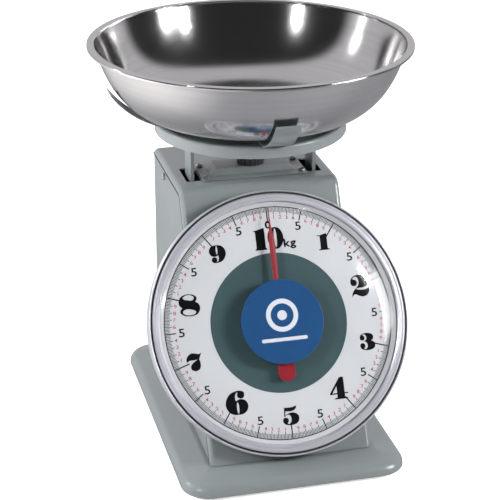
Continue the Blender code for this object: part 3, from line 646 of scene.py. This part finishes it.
def make_panels():
    for word in ("left", "right"):
        node = f"side_panel_{word}"
        low, high = box(node)
        panel = prism(f"{word}_side_sheet", panel_outline(CASE_LIP + SEAM), "x", low.x, high.x)
        bevel(panel, 0.35, 2, 60)
        finish(panel, PAINT, "base", node)
        # A black strip fills the seam between the lip and the panel: painted shade that draws the seam as a
        # dark line.
        side = 1 if high.x > 0 else -1
        edges = sorted((side * (CASE_HALF - 0.02), side * (CASE_HALF - 0.7)))
        outside = panel_outline(CASE_LIP + 0.1)[:-1]
        inside = panel_outline(CASE_LIP + SEAM - 0.4)[:-1]
        finish(prism(f"{word}_seam_painted_shade", outside + inside[::-1], "x", *edges), RUBBER_AND_PAINTED_SHADE, "base")


def make_spring_cover():
    """Screwed-on plate over the spring hanger: flat border, raised middle with sloping ends."""
    low, high = box("spring_cover_plate")
    half = high.x
    sheet = 1.2

    def ring(x, front, rear, height, corner=1.0):
        return [(a, b, height) for a, b in rounded(oblong(-x, x, front, rear, corner))]

    front, rear = low.y, high.y
    rings = [
        ring(33.0, 8.0, 28.0, high.z), ring(38.0, 6.0, 30.0, low.z + sheet),
        ring(half, front, rear, low.z + sheet, 2.0), ring(half, front, rear, low.z, 2.0),
        ring(36.8, 7.2, 28.8, low.z), ring(32.0, 9.2, 26.8, high.z - sheet),
    ]
    plate = loft("spring_cover", rings)
    cut(plate, rod("hole", 3.8, high.z - 10, high.z + 10, PAN))
    bevel(plate, 0.45, 3, 25)
    finish(plate, PAINT, "base", "spring_cover_plate")


# ---- dial case

MARK_CENTRE = (0, 5.5)


def make_drum():
    radius, back, front = dial_span("dial_drum")
    wall = radius - 1.0
    profile = rounded([(8.0, back, 0), (radius, back, 3.2), (radius, front, 0.3), (wall, front, 0.3),
                       (wall, back + 1, 2.2), (8.0, back + 1, 0)])
    finish(lathe("dial_can", profile, DIAL), PAINT, "base", "dial_drum")


def make_bezel():
    """Bright ring: a rolled outer lip, a groove made dark by painted shade, then a face with shallow turned
    steps.
    """
    edge, back, front = dial_span("bezel_ring")
    skirt = edge - 0.7
    corners = [
        (edge, back, 0.2), (edge, 4.8, 0.8), (edge - 0.8, 5.8, 0.5), (edge - 1.5, 5.6, 0.3),
        (edge - 1.6, 2.6, 0.1), (edge - 3.3, 2.6, 0.1), (edge - 3.4, 6.2, 0.7), (edge - 4.6, front, 0.9),
    ]
    for radius in (107.6, 105.9):
        corners += [(radius, front - 0.1, 0.3), (radius - 0.3, front - 0.45, 0.2),
                    (radius - 0.6, front - 0.2, 0.3)]
    corners += [(104.6, front - 0.7, 0.3), (103.8, front - 1.3, 0.1), (103.8, 5.4, 0.1),
                (109.5, 5.0, 0.1), (109.7, 1.8, 0.1), (112.2, 1.6, 0.1), (skirt, 1.0, 0.1),
                (skirt, back, 0.2)]
    ring = lathe("bright_bezel", rounded(corners, 4), DIAL, FINE_ROUND)
    finish(ring, BRIGHT, "base", "bezel_ring", angle=WIDE_ANGLE)
    # A black ring fills the groove: painted shade that draws it as a dark line.
    inner, outer = edge - 3.25, edge - 1.65
    groove = [(inner, 2.7), (outer, 2.7), (outer, 4.9), (inner, 4.9)]
    finish(lathe("bezel_groove_painted_shade", groove, DIAL, FINE_ROUND), RUBBER_AND_PAINTED_SHADE, "base")


def make_window():
    radius, _, crown = dial_span("window")
    edge = 5.3
    sheet = 1.3
    steps = 36
    outer = []
    for i in range(steps + 1):
        r = radius * math.sin(math.pi / 2 * i / steps)
        outer.append((r, crown - (crown - edge) * (r / radius) ** 6))
    inner = [(r, height - sheet) for r, height in reversed(outer)]
    finish(lathe("clear_window", outer + inner, DIAL), CLEAR, "base", "window")


def make_badge():
    """Blue disc with a plain mark: a ring with a dot, and a bar beneath."""
    radius, low, high = dial_span("window_badge")
    profile = rounded([(0, low, 0), (radius, low, 0.2), (radius, high - 0.1, 0.7), (radius * 0.6, high, 40),
                       (0, high, 0)])
    finish(lathe("round_badge", profile, DIAL), BLUE, "base", "window_badge")
    ring = [oval(MARK_CENTRE, (14.0, 14.0), steps=64), oval(MARK_CENTRE, (10.0, 10.0), steps=64)]
    dot = [oval(MARK_CENTRE, (4.2, 4.2), steps=48)]
    bar = [rounded(oblong(-20, 20, -16.5, -13.5, 1.2))]
    flat_print("badge_mark", [ring, dot, bar], high, BADGE_WHITE, 0.08)


# ---- dial print

INK_THICK = 0.06
GLYPH_HEIGHT = 100
GLYPH_GAP = 6
CAPITAL_SHARE = 0.73
FIGURE_WIDENING = 1.2
SCALE_RADIUS = 100.0
CIRCLE_WIDTH = 0.8
RIM_OUTSIDE = 103.9
RIM_TOP = 3.7
TEAL_RADIUS = 60.0
SHAFT_HOLE = 4.2
HALF_KILOGRAM_RADIUS = 85.2
GRAM_RADIUS = 91.0
DIVISIONS = 500
TICKS = ((50, 14.5, 1.05), (25, 10.0, 0.95), (5, 6.8, 0.55), (1, 5.0, 0.46))
NUMERALS = {1: (80.6, 36.0, 14.5), 2: (78.2, 72.0, 19.3), 3: (79.6, 108.0, 15.0), 4: (76.4, 143.6, 18.8),
            5: (79.7, 179.7, 16.2), 6: (78.0, 215.2, 20.2), 7: (81.2, 251.6, 15.2),
            8: (79.3, 286.6, 18.9), 9: (78.9, 323.6, 15.2)}


def print_piece(name, mesh, look):
    mesh.transform(DIAL)
    finish(add_object(name, mesh), look, "base", angle=math.radians(20))


def curve_mesh(curve):
    """The filled and extruded shape of a curve or a text."""
    holder = add_object(curve.name, curve)
    mesh = evaluated_mesh(holder)
    bpy.data.objects.remove(holder)
    return mesh


def flat_print(name, shapes, level, look, thick=INK_THICK):
    """Thin closed layer of ink. Each shape is a list of outlines, the first one outside, the rest holes."""
    curve = bpy.data.curves.new(name + "_outline", "CURVE")
    curve.dimensions = "2D"
    curve.fill_mode = "BOTH"
    curve.extrude = thick / 2 * MM
    for shape in shapes:
        for outline in shape:
            spline = curve.splines.new("POLY")
            spline.points.add(len(outline) - 1)
            for point, (x, u) in zip(spline.points, outline):
                point.co = (x * MM, u * MM, 0, 1)
            spline.use_cyclic_u = True
    mesh = curve_mesh(curve)
    mesh.transform(at(0, 0, level + thick / 2))
    print_piece(name, mesh, look)


def words(name, entries, level, look, weight):
    """Numbers in the built-in sans face, a little widened. Entries are (text, x, u, height)."""
    draft = bmesh.new()
    for text, x, u, height in entries:
        font = bpy.data.curves.new(name + "_text", "FONT")
        font.body = text
        font.size = height * MM / CAPITAL_SHARE
        font.offset = weight * MM
        font.extrude = INK_THICK / 2 * MM
        font.resolution_u = 3
        mesh = curve_mesh(font)
        xs = [v.co.x for v in mesh.vertices]
        ys = [v.co.y for v in mesh.vertices]
        centre = Vector(((min(xs) + max(xs)) / 2, (min(ys) + max(ys)) / 2, 0))
        mesh.transform(Matrix.Translation(-centre))
        mesh.transform(Matrix.Diagonal((FIGURE_WIDENING, 1, 1, 1)))
        mesh.transform(at(x, u, level + INK_THICK / 2))
        draft.from_mesh(mesh)
    joined = bpy.data.meshes.new(name)
    draft.to_mesh(joined)
    draft.free()
    print_piece(name, joined, look)


# ---- numerals: a list of outlines each, 100 high and standing on 0, the outer one and then its holes

def curved(*runs):
    """Smooth runs end to end, with a corner where one hands over to the next."""
    return [point for run in runs for point in smooth(run)]


def glyph_one(left=15.5, right=58.5, foot=13.5):
    """Heavy stem with a thin foot and a flag that droops to the left."""
    return [[(left - foot, 0), (right + foot, 0), (right + foot, 4), (right, 9.5), (right, 100),
             (right - 16, 96.5), (left, 90), (left - foot * 1.35, 89.5), (left - foot * 1.35, 85.5),
             (left, 84.5), (left, 9.5), (left - foot, 4)]]


def glyph_two():
    outer = [(7.5, 66), (9, 79), (18, 90), (33, 97.5), (50, 100), (70, 95), (83, 83), (87.5, 67),
             (83, 51), (70, 42), (50, 40.5), (35, 38.5), (31.5, 35.5)]
    foot_top = [(31.5, 35.5), (40, 32.5), (60, 30.5), (80, 34), (89.5, 44)]
    foot = [(89.5, 44), (91.5, 27), (86, 12), (74, 2.5), (58, 0), (42, 4.5), (28, 12), (18, 10.5), (8, 0)]
    inner = [(8, 0), (10.5, 12), (16, 24), (25, 35), (38, 47), (45.5, 60), (46, 72), (42, 85), (33, 91.5),
             (22, 87), (18, 80)]
    ball = [(18, 80)] + arc((22.5, 64.5), 15, 80, -190, 12)
    return [curved(outer, foot_top, foot, inner) + smooth(ball, 2)]


def glyph_three():
    top = [(4, 72), (8, 87), (22, 96), (46, 100), (70, 95), (84, 83), (85.5, 70), (79, 59), (69, 54.5)]
    low = [(69, 54.5), (84, 47), (92, 34), (91, 20), (80, 7), (52, 0), (24, 3), (7, 13), (1, 27)]
    ball_low = arc((17, 27.5), 16, 180, -70, 12)
    inner_low = [(22.5, 12.5), (34, 8), (44, 17), (46.5, 30), (43, 43), (33, 50.5), (25, 52)]
    inner_top = [(25, 53.5), (36, 57.5), (43, 66), (43, 80), (37, 89), (27, 92), (20, 88.5)]
    ball_top = arc((18.5, 72.5), 14.5, 70, -180, 12)
    return [curved(top, low) + ball_low + curved(inner_low, inner_top) + ball_top]


def glyph_four():
    outer = [(49, 100), (68, 100), (68, 28.5), (84, 28.5), (84, 23), (68, 23), (68, 8.5), (82, 4),
             (82, 0), (18, 0), (18, 4), (32, 8.5), (32, 22.5), (-3, 22.5), (-3, 27.5)]
    return [outer, [(10, 28.5), (32, 28.5), (32, 60)]]


def glyph_five():
    flag = [(13, 95), (35, 92.5), (58, 93.5), (80, 100)]
    flag_low = [(80, 100), (76, 85), (62, 75.5), (42, 72), (19, 74.5)]
    bowl_top = [(15.5, 53), (30, 60.5), (50, 65.5), (72, 61), (87, 48), (90, 32), (84, 15), (68, 3.5),
                (44, 0), (20, 3), (5, 13), (0, 25)]
    ball = arc((16, 26), 16, 180, -60, 12)
    inner = [(24, 11.5), (33, 7.5), (43, 15), (47, 31), (44, 47), (34, 55.5), (22, 53), (13.5, 46)]
    stem = [(13.5, 46), (9, 46)]
    return [curved(flag, flag_low) + [(19, 74.5)] + smooth(bowl_top) + ball + smooth(inner) + stem]


def glyph_six():
    slot = oval((51.5, 28.5), (5, 23.5), steps=20)
    top = [(52, 100), (66, 100), (80, 94.5), (84, 83), (80, 71), (68, 66.5), (57, 71), (52.5, 80),
           (54.5, 90), (56, 94.5)]
    curl = [(56, 94.5), (48, 89), (43, 76), (44, 62), (47, 57.5)]
    bowl = [(47, 57.5), (54, 62), (66, 64.5), (82, 60), (92, 49), (96, 33), (90, 15), (74, 3), (50, 0),
            (24, 5), (6, 23), (0, 48), (8, 73), (26, 92), (52, 100)]
    return [curved(top, curl, bowl), slot]


def glyph_seven():
    flag = [(0, 50), (0, 70), (9, 88), (26, 100), (46, 98.5), (64, 93), (80, 100)]
    neck = [(80, 100), (71, 80), (65.5, 66)]
    drop = [(65.5, 66), (70, 46), (70, 26), (62, 8), (44, 0), (25, 7), (19, 22), (24, 38), (40, 53),
            (58.5, 66)]
    under = [(58.5, 66), (46, 62), (30, 61), (14, 60), (0, 50)]
    return [[(1.1 * x, y) for x, y in curved(flag, neck, drop, under)]]


def glyph_eight():
    outer = [(44, 100), (68, 95.5), (82, 84), (83, 73), (75, 64)]
    right = [(75, 64), (89, 54), (95, 38), (91, 20), (76, 5), (48, 0), (20, 5), (4, 18), (5, 30),
             (14, 39)]
    left = [(14, 39), (2, 52), (0, 68), (8, 86), (24, 96.5), (44, 100)]
    upper = [(20, 86), (34, 94), (52, 95), (68, 88), (70, 77), (60, 70), (40, 73), (25, 78), (20, 86)]
    lower = [(18, 27), (35, 33), (58, 29), (74, 20), (70, 10), (50, 5), (28, 8), (16, 17), (18, 27)]
    return [curved(outer, right, left), smooth(upper), smooth(lower)]


def glyph_nine():
    return [[(96 - x, 100 - y) for x, y in outline] for outline in glyph_six()]


def glyph_zero():
    return [oval((37, 50), (37, 50), steps=44), oval((37, 50), (6.5, 43), steps=32)]


GLYPHS = {"0": glyph_zero(), "1": glyph_one(), "I": glyph_one(10, 53, 6), "2": glyph_two(),
          "3": glyph_three(), "4": glyph_four(), "5": glyph_five(), "6": glyph_six(),
          "7": glyph_seven(), "8": glyph_eight(), "9": glyph_nine()}


def set_numeral(text, x, u, height):
    """Fat-face numeral centred on (x, u)."""
    unit = height / GLYPH_HEIGHT
    steps = [max(a for a, _ in GLYPHS[char][0]) + GLYPH_GAP for char in text]
    pen = x - (sum(steps) - GLYPH_GAP) * unit / 2
    foot = u - height / 2
    shapes = []
    for char, step in zip(text, steps):
        shapes.append([[(pen + a * unit, foot + b * unit) for a, b in outline] for outline in GLYPHS[char]])
        pen += step * unit
    return shapes


def on_circle(radius, turn):
    """Point at a radius, turned clockwise from the top in degrees."""
    angle = math.radians(turn)
    return radius * math.sin(angle), radius * math.cos(angle)


def make_ticks(level):
    """The ring of 20 g divisions, with longer marks each 100 g, 500 g and kilogram, and its circle."""
    inside = SCALE_RADIUS - CIRCLE_WIDTH
    ticks = []
    for i in range(DIVISIONS):
        length, width = next((length, width) for every, length, width in TICKS if i % every == 0)
        along = Vector(on_circle(1, 360 * i / DIVISIONS))
        across = Vector((along.y, -along.x)) * width / 2
        near = along * (SCALE_RADIUS - length)
        far = along * (inside - 0.1)
        ticks.append([(near - across, near + across, far + across, far - across)])
    flat_print("scale_ticks", ticks, level, INK)
    circle = [oval((0, 0), (radius, radius), steps=240) for radius in (SCALE_RADIUS, inside)]
    flat_print("scale_circle", [circle], level, INK)


def make_card():
    """White dial card with a raised rim around the scale. Returns the height of its face."""
    radius, back, face = dial_span("dial_plate")
    outline = [(4.0, back, 0), (radius, back, 0.1), (radius, face, 0.1), (RIM_OUTSIDE + 0.6, face, 0.1),
               (RIM_OUTSIDE, RIM_TOP, 0.4), (RIM_OUTSIDE - 0.8, RIM_TOP, 0.4),
               (SCALE_RADIUS + 0.4, face, 1.2), (4.0, face, 0)]
    finish(lathe("dial_card", rounded(outline), DIAL), WHITE, "base", "dial_plate")
    return face


def make_print():
    face = make_card()
    disc = [oval((0, 0), (TEAL_RADIUS, TEAL_RADIUS), steps=160), oval((0, 0), (SHAFT_HOLE, SHAFT_HOLE))]
    flat_print("teal_disc", [disc], face, TEAL)
    make_ticks(face)
    numerals = []
    for value, (reach, turn, height) in NUMERALS.items():
        numerals += set_numeral(str(value), *on_circle(reach, turn), height)
    numerals += set_numeral("I0", -0.9, 72.5, 19.0)
    flat_print("kilogram_numerals", numerals, face, INK)
    halves = [("5", *on_circle(HALF_KILOGRAM_RADIUS, 18 + 36 * k), 7.4) for k in range(10)]
    words("half_kilogram_numerals", halves, face, INK, 0.12)
    marks = [("0", -0.2, 84.3, 6.4), ("k", 15.0, 67.3, 6.8), ("g", 20.2, 65.4, 6.6)]
    words("zero_and_unit", marks, face, INK, 0.3)
    small = [(str(i % 10), *on_circle(GRAM_RADIUS, 3.6 * i), 3.2) for i in range(100) if i % 5]
    words("gram_numerals", small, face, RED_INK, 0.04)


# ---- pointer

# Stations along the blade: distance from the middle, half width, height of the ridge.
BLADE = [(5.0, 2.4, 1.3), (30.0, 2.2, 1.3), (50.0, 2.4, 1.3), (66.0, 2.6, 1.3), (71.0, 2.5, 1.2),
         (76.0, 1.7, 0.8), (84.0, 0.65, 0.3), (98.0, 0.25, 0.05)]


def make_pointer():
    """Folded blade with a ridge down its middle, a round hub and a flat round-ended tail."""
    _, low, high = dial_span("pointer")
    sheet = high - low
    rings = []
    for u, half, ridge in BLADE:
        under = high - sheet * 0.6
        rings.append([(-half, u, high), (0, u, high + ridge), (half, u, high), (half, u, under),
                      (0, u, under + ridge), (-half, u, under)])
    blade = loft("pointer_blade", rings, DIAL)
    hub = arc((0, 0), 8.0, 90, -52, 12)
    tail = [(4.6, -20.0)] + arc((0, -43.0), 7.5, 0, -90, 12)
    half = hub + tail
    outline = half + [(-x, u) for x, u in reversed(half[1:-1])]
    plate = prism("pointer_tail", outline, "z", low, high, DIAL)
    join(blade, plate)
    cut(blade, rod("hole", 1.95, 0, 20, DIAL))
    finish(blade, RED, "pointer", "pointer", angle=math.radians(12))


# ---- platform and bowl

SEAT_BAND = 6.0
SEAT_FLOOR = 269.5
SEAT_SHEET = 1.5
CLIP_HALF = 10.6
CLIP_BEND = 37.0
CLIP_START = 70.0
CLIP_ROOT = 84.0
CROSS_REACH = 83.0
CLIP_SHEET = 1.4
BOWL_SHEET = 0.8
BOWL_FLOOR_RADIUS = 54.7
BOWL_FLOOR_PULL = 62.2
BOWL_NECK_RADIUS = 134.6
BOWL_NECK_PULL = 24.8
BOWL_NECK_LEAN = 0.37


def make_pan_seat():
    """Round pan seat: a rolled band around a flat floor."""
    low, high = box("platform_ring")
    radius = high.x
    band = radius - SEAT_BAND
    sheet = SEAT_SHEET
    under = SEAT_FLOOR - sheet
    profile = rounded([
        (0, under, 0), (band + sheet, under, 1.0), (band + sheet, high.z - sheet, 0.6),
        (radius - sheet, high.z - sheet, 0.8), (radius - sheet, low.z, 0.4), (radius, low.z, 0.5),
        (radius, high.z, 2.0), (band, high.z, 1.6), (band, SEAT_FLOOR, 1.0), (0, SEAT_FLOOR, 0),
    ])
    finish(lathe("pan_seat", profile, PAN), PAINT, "platform", "platform_ring")


def clip_arc(low, high):
    """Centre, radius and first angle of a clip's arc, from the seat up along the bowl."""
    start = Vector((CLIP_ROOT, low.z))
    chord = Vector((high.x, high.z - 0.8)) - start
    bend = math.radians(CLIP_BEND)
    radius = chord.length / (2 * math.sin(bend / 2))
    slope = math.atan2(chord.y, chord.x) - bend / 2
    centre = start + radius * Vector((-math.sin(slope), math.cos(slope)))
    return centre, radius, math.degrees(slope) - 90


def make_cradle():
    low, high = box("bowl_cradle")
    centre, radius, first = clip_arc(low, high)
    top = low.z + CLIP_SHEET
    outer = arc(centre, radius, first, first + CLIP_BEND, 22)
    inner = arc(centre, radius - CLIP_SHEET, first + CLIP_BEND, first, 22)
    side_view = [(CLIP_START, low.z)] + outer + inner + [(CLIP_START, top)]
    half = CLIP_HALF + 0.4
    arm = ((half, half), (CROSS_REACH, half), (CROSS_REACH, -half))
    cross = []
    for quarter in range(4):
        turn = Matrix.Rotation(math.radians(-90 * quarter), 2)
        cross += [tuple(turn @ Vector(corner)) for corner in arm]
    cradle = prism("cradle_cross", cross, "z", low.z, top, PAN)
    for quarter in range(4):
        turn = PAN @ Matrix.Rotation(math.radians(90 * quarter), 4, "Z")
        rings = [[(r, y, z) for r, z in side_view] for y in (-CLIP_HALF, CLIP_HALF)]
        join(cradle, loft("bowl_clip", rings, turn))
    bevel(cradle, 0.3, 2, 60)
    finish(cradle, PAINT, "platform", "bowl_cradle")


def bowl_profile():
    """Section of the spun bowl: flat bottom, curved wall, rim turned outwards and down."""
    low, high = box("weighing_bowl")
    edge = high.x
    start = Vector((BOWL_FLOOR_RADIUS, low.z))
    leave = start + Vector((BOWL_FLOOR_PULL, 0))
    end = Vector((BOWL_NECK_RADIUS, high.z - 2.0))
    arrive = end - BOWL_NECK_PULL * Vector((math.sin(BOWL_NECK_LEAN), math.cos(BOWL_NECK_LEAN)))
    outer = []
    inner = []
    steps = 56
    for i in range(steps + 1):
        s = i / steps
        r = 1 - s
        point = start * r ** 3 + leave * 3 * s * r * r + arrive * 3 * s * s * r + end * s ** 3
        slope = (leave - start) * r * r + (arrive - leave) * 2 * s * r + (end - arrive) * s * s
        slope.normalize()
        outer.append(tuple(point))
        inner.append((point.x - slope.y * BOWL_SHEET, point.y + slope.x * BOWL_SHEET))
    top = high.z
    rim = rounded([(134.0, top - 3.0, 0), (edge - 1.2, top - 1.6, 0.3), (edge - 1.2, top - 2.6, 0.3),
                   (edge, top - 2.6, 0.3), (edge, top, 1.0), (edge - 6.4, top, 1.0), (133.0, top - 3.0, 0)])
    return [(0, low.z)] + outer + rim[1:-1] + inner[::-1] + [(0, low.z + BOWL_SHEET)]


def make_bowl():
    finish(lathe("steel_bowl", bowl_profile(), PAN, FINE_ROUND), STAINLESS, "bowl", "weighing_bowl")


KNOB_FLUTES = 20
KNOB_STEPS = 6
KNOB_HEIGHT = 8.5


def make_knob():
    """Black fluted knob on the zero screw."""
    low, high = box("zero_adjust_knob")
    base = high.z - KNOB_HEIGHT
    count = KNOB_FLUTES * KNOB_STEPS
    levels = [(0.3, base), (0.0, base + 0.4), (0.0, high.z - 1.6), (0.35, high.z - 0.7), (1.2, high.z)]
    rings = []
    for inset, height in levels:
        ring = []
        for i in range(count):
            angle = 2 * math.pi * i / count
            dip = 0.8 * max(0.0, math.cos(KNOB_FLUTES * angle)) ** 1.5
            reach = high.x - inset - dip
            ring.append((reach * math.cos(angle), reach * math.sin(angle), height))
        rings.append(ring)
    knob = loft("zero_knob_cap", rings, PAN)
    finish(knob, KNOB, "zero_knob", "zero_adjust_knob", angle=math.radians(30))
    shank = rounded([(0, low.z, 0), (3.0, low.z, 0.8), (3.0, base, 0), (0, base, 0)])
    finish(lathe("zero_screw", shank, PAN, 40), ZINC, "zero_knob")


# ---- screws

HEAD_RISE = 2.25


def screw_place(node):
    """Frame on top of a screw's head with z out of the surface, the head's radius and the length."""
    low, high = box(node)
    size = high - low
    axis = max(range(3), key=lambda i: size[i])
    spot = (low + high) / 2
    facing = -1 if axis == 0 and spot.x < 0 else 1
    outward = Vector((0, 0, 0))
    outward[axis] = facing
    spot[axis] = (high if facing > 0 else low)[axis]
    turn = Vector((0, 0, 1)).rotation_difference(outward).to_matrix().to_4x4()
    return at(*spot) @ turn, min(size) / 2, size[axis]


def make_screw(node):
    """Pan-head screw with a cross recess."""
    place, head, length = screw_place(node)
    under = -HEAD_RISE
    dome = [(x, under + 0.75 + u) for x, u in oval((0, 0), (head, HEAD_RISE - 0.75), 0, 90, 8)]
    profile = [(0, -length), (1.5, -length), (1.5, under), (head - 0.15, under), (head, under + 0.15)]
    profile += dome[:-1] + [(0, dome[-1][1])]
    piece = lathe(node + "_head", profile, place, 40)
    spin = 20 + 35 * (sum(map(ord, node)) % 5)
    for quarter in (0, 90):
        turn = place @ Matrix.Rotation(math.radians(spin + quarter), 4, "Z")
        rings = [[(x * a, y * b, z) for a, b in ((-1, -1), (1, -1), (1, 1), (-1, 1))]
                 for x, y, z in ((0.7, 0.28, -1.3), (1.8, 0.42, 0.5))]
        cut(piece, loft("recess", rings, turn))
    finish(piece, ZINC, "base", node)


def make_screws():
    for name in sorted(NODES):
        if name.startswith(("side_screw", "rear_screw", "cover_plate_screw")):
            make_screw(name)


# ---- springs

SPRING_EYE = 190.0
SPRING_FOOT = 93.0
SPRING_COIL = 8.0
SPRING_TURNS = 9
SPRING_WIRE = 1.0
HOOK_DROP = 9.0
HOOK_REACH = 3.8


def wire(name, spots, body, *nodes):
    """Round wire along a run of points."""
    rings = []
    side = (spots[1] - spots[0]).orthogonal().normalized()
    for before, spot, after in zip(spots[:1] + spots, spots, spots[1:] + spots[-1:]):
        along = (after - before).normalized()
        side = (side - along * side.dot(along)).normalized()
        across = along.cross(side)
        rings.append([spot + (side * x + across * y) * SPRING_WIRE for x, y in arc((0, 0), 1, 0, 330, 11)])
    return finish(loft(name, rings), SPRING, body, *nodes)


def make_spring(node):
    """Open-wound spring: its top hook moves with the hanger, its coil stretches to the crossbar."""
    low, high = box(node)
    hang = Vector(((low.x + high.x) / 2, PAN_Y, 0))
    top = SPRING_EYE - HOOK_DROP
    bottom = SPRING_FOOT + HOOK_DROP
    steps = 28
    last = SPRING_TURNS * steps + steps // 4
    coil = []
    for i in range(last + 1):
        angle = 2 * math.pi * i / steps
        height = top + (bottom - top) * i / last
        coil.append((SPRING_COIL * math.cos(angle), SPRING_COIL * math.sin(angle), height))
    hook = smooth([(-HOOK_REACH, 0, SPRING_EYE), (0, 0, SPRING_EYE), (HOOK_REACH, 0, SPRING_EYE - 0.5),
                   (HOOK_REACH + 2.5, 0, SPRING_EYE - 4), (SPRING_COIL, 0, top)], 5)
    foot = SPRING_FOOT
    tail = smooth([(0, SPRING_COIL, bottom), (0, HOOK_REACH + 2, foot + 4), (0, HOOK_REACH, foot),
                   (0, 0, foot - 0.1), (0, -HOOK_REACH - 1, foot)], 5)
    overlap = steps // 2
    wire(node + "_hook", [hang + Vector(spot) for spot in hook + coil[:overlap]], "hanger")
    spring = wire(node + "_wire", [hang + Vector(spot) for spot in coil + tail[1:]], None, node)
    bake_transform(spring)


# ---- CAD nodes kept as they are

KEPT_LOOKS = {
    BRASS: ("shaft_bush_front", "shaft_bush_rear", "rack_guide", "rack", "pointer_hub"),
    PAINT: ("rear_cover", "platform_post_left", "platform_post_right"),
}


def dress_kept_nodes():
    """Zinc for every CAD node that no piece stands for, unless another look is named for it."""
    looks = {name: look for look, names in KEPT_LOOKS.items() for name in names}
    for name in sorted(set(NODES) - replaced):
        node = NODES[name]
        node.data.materials.clear()
        node.data.materials.append(looks.get(name, ZINC))
        if looks.get(name) is PAINT:
            bevel(node, 0.3, 2, 60)
            even_flats(node, False)


# ---- stage, light and camera

FLOOR_TONE = (0.68, 0.68, 0.68)
FLOOR_REACH = 6.0
LIGHT_TARGET = Vector((0, 0, 0.15))
WHITE_LIGHT = (1, 1, 1, 1)


def make_floor():
    """Pale floor, brighter for the camera, that reflections see as darker."""
    reach = FLOOR_REACH
    mesh = bpy.data.meshes.new("floor")
    mesh.from_pydata([(-reach, -reach, 0), (reach, -reach, 0), (reach, reach, 0), (-reach, reach, 0)], [],
                     [(0, 1, 2, 3)])
    look, tree, shader = start_material("pale_floor", FLOOR_TONE, 0.6)
    path = add_node(tree, "LightPath")
    left = rising(tree, split(tree, place_vector(tree))["X"], -0.15, -0.45, 1.0)
    reflected = blended(tree, left, (0.20, 0.20, 0.21), (0.50, 0.49, 0.49))
    feed(tree, shader, {
        "Specular IOR Level": 0.1,
        "Base Color": blended(tree, path["Is Glossy Ray"], FLOOR_TONE, reflected),
        "Emission Color": WHITE_LIGHT,
        "Emission Strength": maths(tree, "MULTIPLY", path["Is Camera Ray"], 0.62),
    })
    mesh.materials.append(look)
    add_object("floor", mesh)


# Softboxes: direction from the scale, distance, width and height, watts, whether reflections show it.
LIGHTS = {
    "right_lamp": ((0.68, -0.69, 0.55), 1.3, (0.12, 0.07), 3.6, True),
    "right_softbox": ((0.80, -0.52, 0.30), 1.3, (0.34, 0.46), 8.0, True),
    "right_fill": ((0.76, -0.58, 0.42), 1.3, (0.25, 0.25), 13.0, False),
    "left_lamp": ((-0.76, -0.53, 0.57), 1.3, (0.07, 0.07), 3.4, True),
    "left_key": ((-0.76, -0.53, 0.50), 1.3, (0.20, 0.20), 6.5, False),
    "left_rear_lamp": ((-0.89, 0.46, 0.55), 1.3, (0.06, 0.06), 3.0, True),
    "left_fill": ((-1, 0.15, 0.35), 1.5, (1.0, 0.8), 38.0, False),
    "front_fill": ((-0.1, -0.88, 0.48), 1.6, (1.0, 0.8), 2.5, False),
    "rear_fill": ((0.35, 1, 0.40), 1.6, (1.2, 0.9), 16.0, False),
    "ceiling_softbox": ((0, 0, 1), 1.6, (1.2, 1.2), 3.0, False),
}


def make_lights():
    for name, (direction, distance, size, watts, mirrored) in LIGHTS.items():
        light = bpy.data.lights.new(name, "AREA")
        light.shape = "RECTANGLE"
        light.size, light.size_y = size
        light.energy = watts
        away = Vector(direction).normalized()
        lamp = add_object(name, light)
        lamp.location = LIGHT_TARGET + away * distance
        lamp.rotation_euler = (-away).to_track_quat("-Z", "Y").to_euler()
        lamp.visible_glossy = mirrored


def background(tree, color, strength):
    return add_node(tree, "Background", {"Color": color, "Strength": strength})[0]


def make_world():
    """Soft light on matt surfaces, a room that is pale behind for reflections, white for the camera."""
    world = bpy.data.worlds.new("studio")
    bpy.context.scene.world = world
    world.use_nodes = True
    tree = world.node_tree
    tree.nodes.remove(tree.nodes["Background"])
    toward = split(tree, add_node(tree, "TexCoord")["Generated"])
    behind = maths(tree, "ADD", rising(tree, toward["Y"], 0.0, 0.22, 0.60), 0.03)
    path = add_node(tree, "LightPath")
    soft = background(tree, (0.96, 0.98, 1.0, 1), 0.22)
    room = background(tree, (0.98, 0.97, 1.0, 1), behind)
    lit = mixed_shaders(tree, path["Is Glossy Ray"], soft, room)
    seen = mixed_shaders(tree, path["Is Camera Ray"], lit, background(tree, WHITE_LIGHT, 1.0))
    feed(tree, tree.nodes["World Output"], {"Surface": seen})


CAMERA_SPOT = (-0.3302, -1.2715, 0.7218)
CAMERA_YAW = math.radians(14.37)
CAMERA_PITCH = math.radians(23.29)
CAMERA_ROLL = math.radians(0.16)
CAMERA_LENS = 115.3


def make_camera():
    camera = add_object("camera", bpy.data.cameras.new("camera"))
    camera.data.lens = CAMERA_LENS
    camera.data.sensor_width = 36.0
    turn = Matrix.Rotation(-CAMERA_YAW, 4, "Z") @ Matrix.Rotation(math.pi / 2 - CAMERA_PITCH, 4, "X")
    turn @= Matrix.Rotation(CAMERA_ROLL, 4, "Z")
    camera.matrix_world = Matrix.Translation(CAMERA_SPOT) @ turn
    bpy.context.scene.camera = camera
    bpy.context.scene.view_settings.view_transform = "Standard"


# ---- all together

make_base()
make_feet()
make_wrap()
make_panels()
make_spring_cover()
make_drum()
make_bezel()
make_window()
make_badge()
make_print()
make_pointer()
make_pan_seat()
make_cradle()
make_bowl()
make_knob()
make_screws()
for spring_node in ("main_spring_left", "main_spring_right"):
    make_spring(spring_node)
dress_kept_nodes()
make_floor()
make_world()
make_lights()
make_camera()
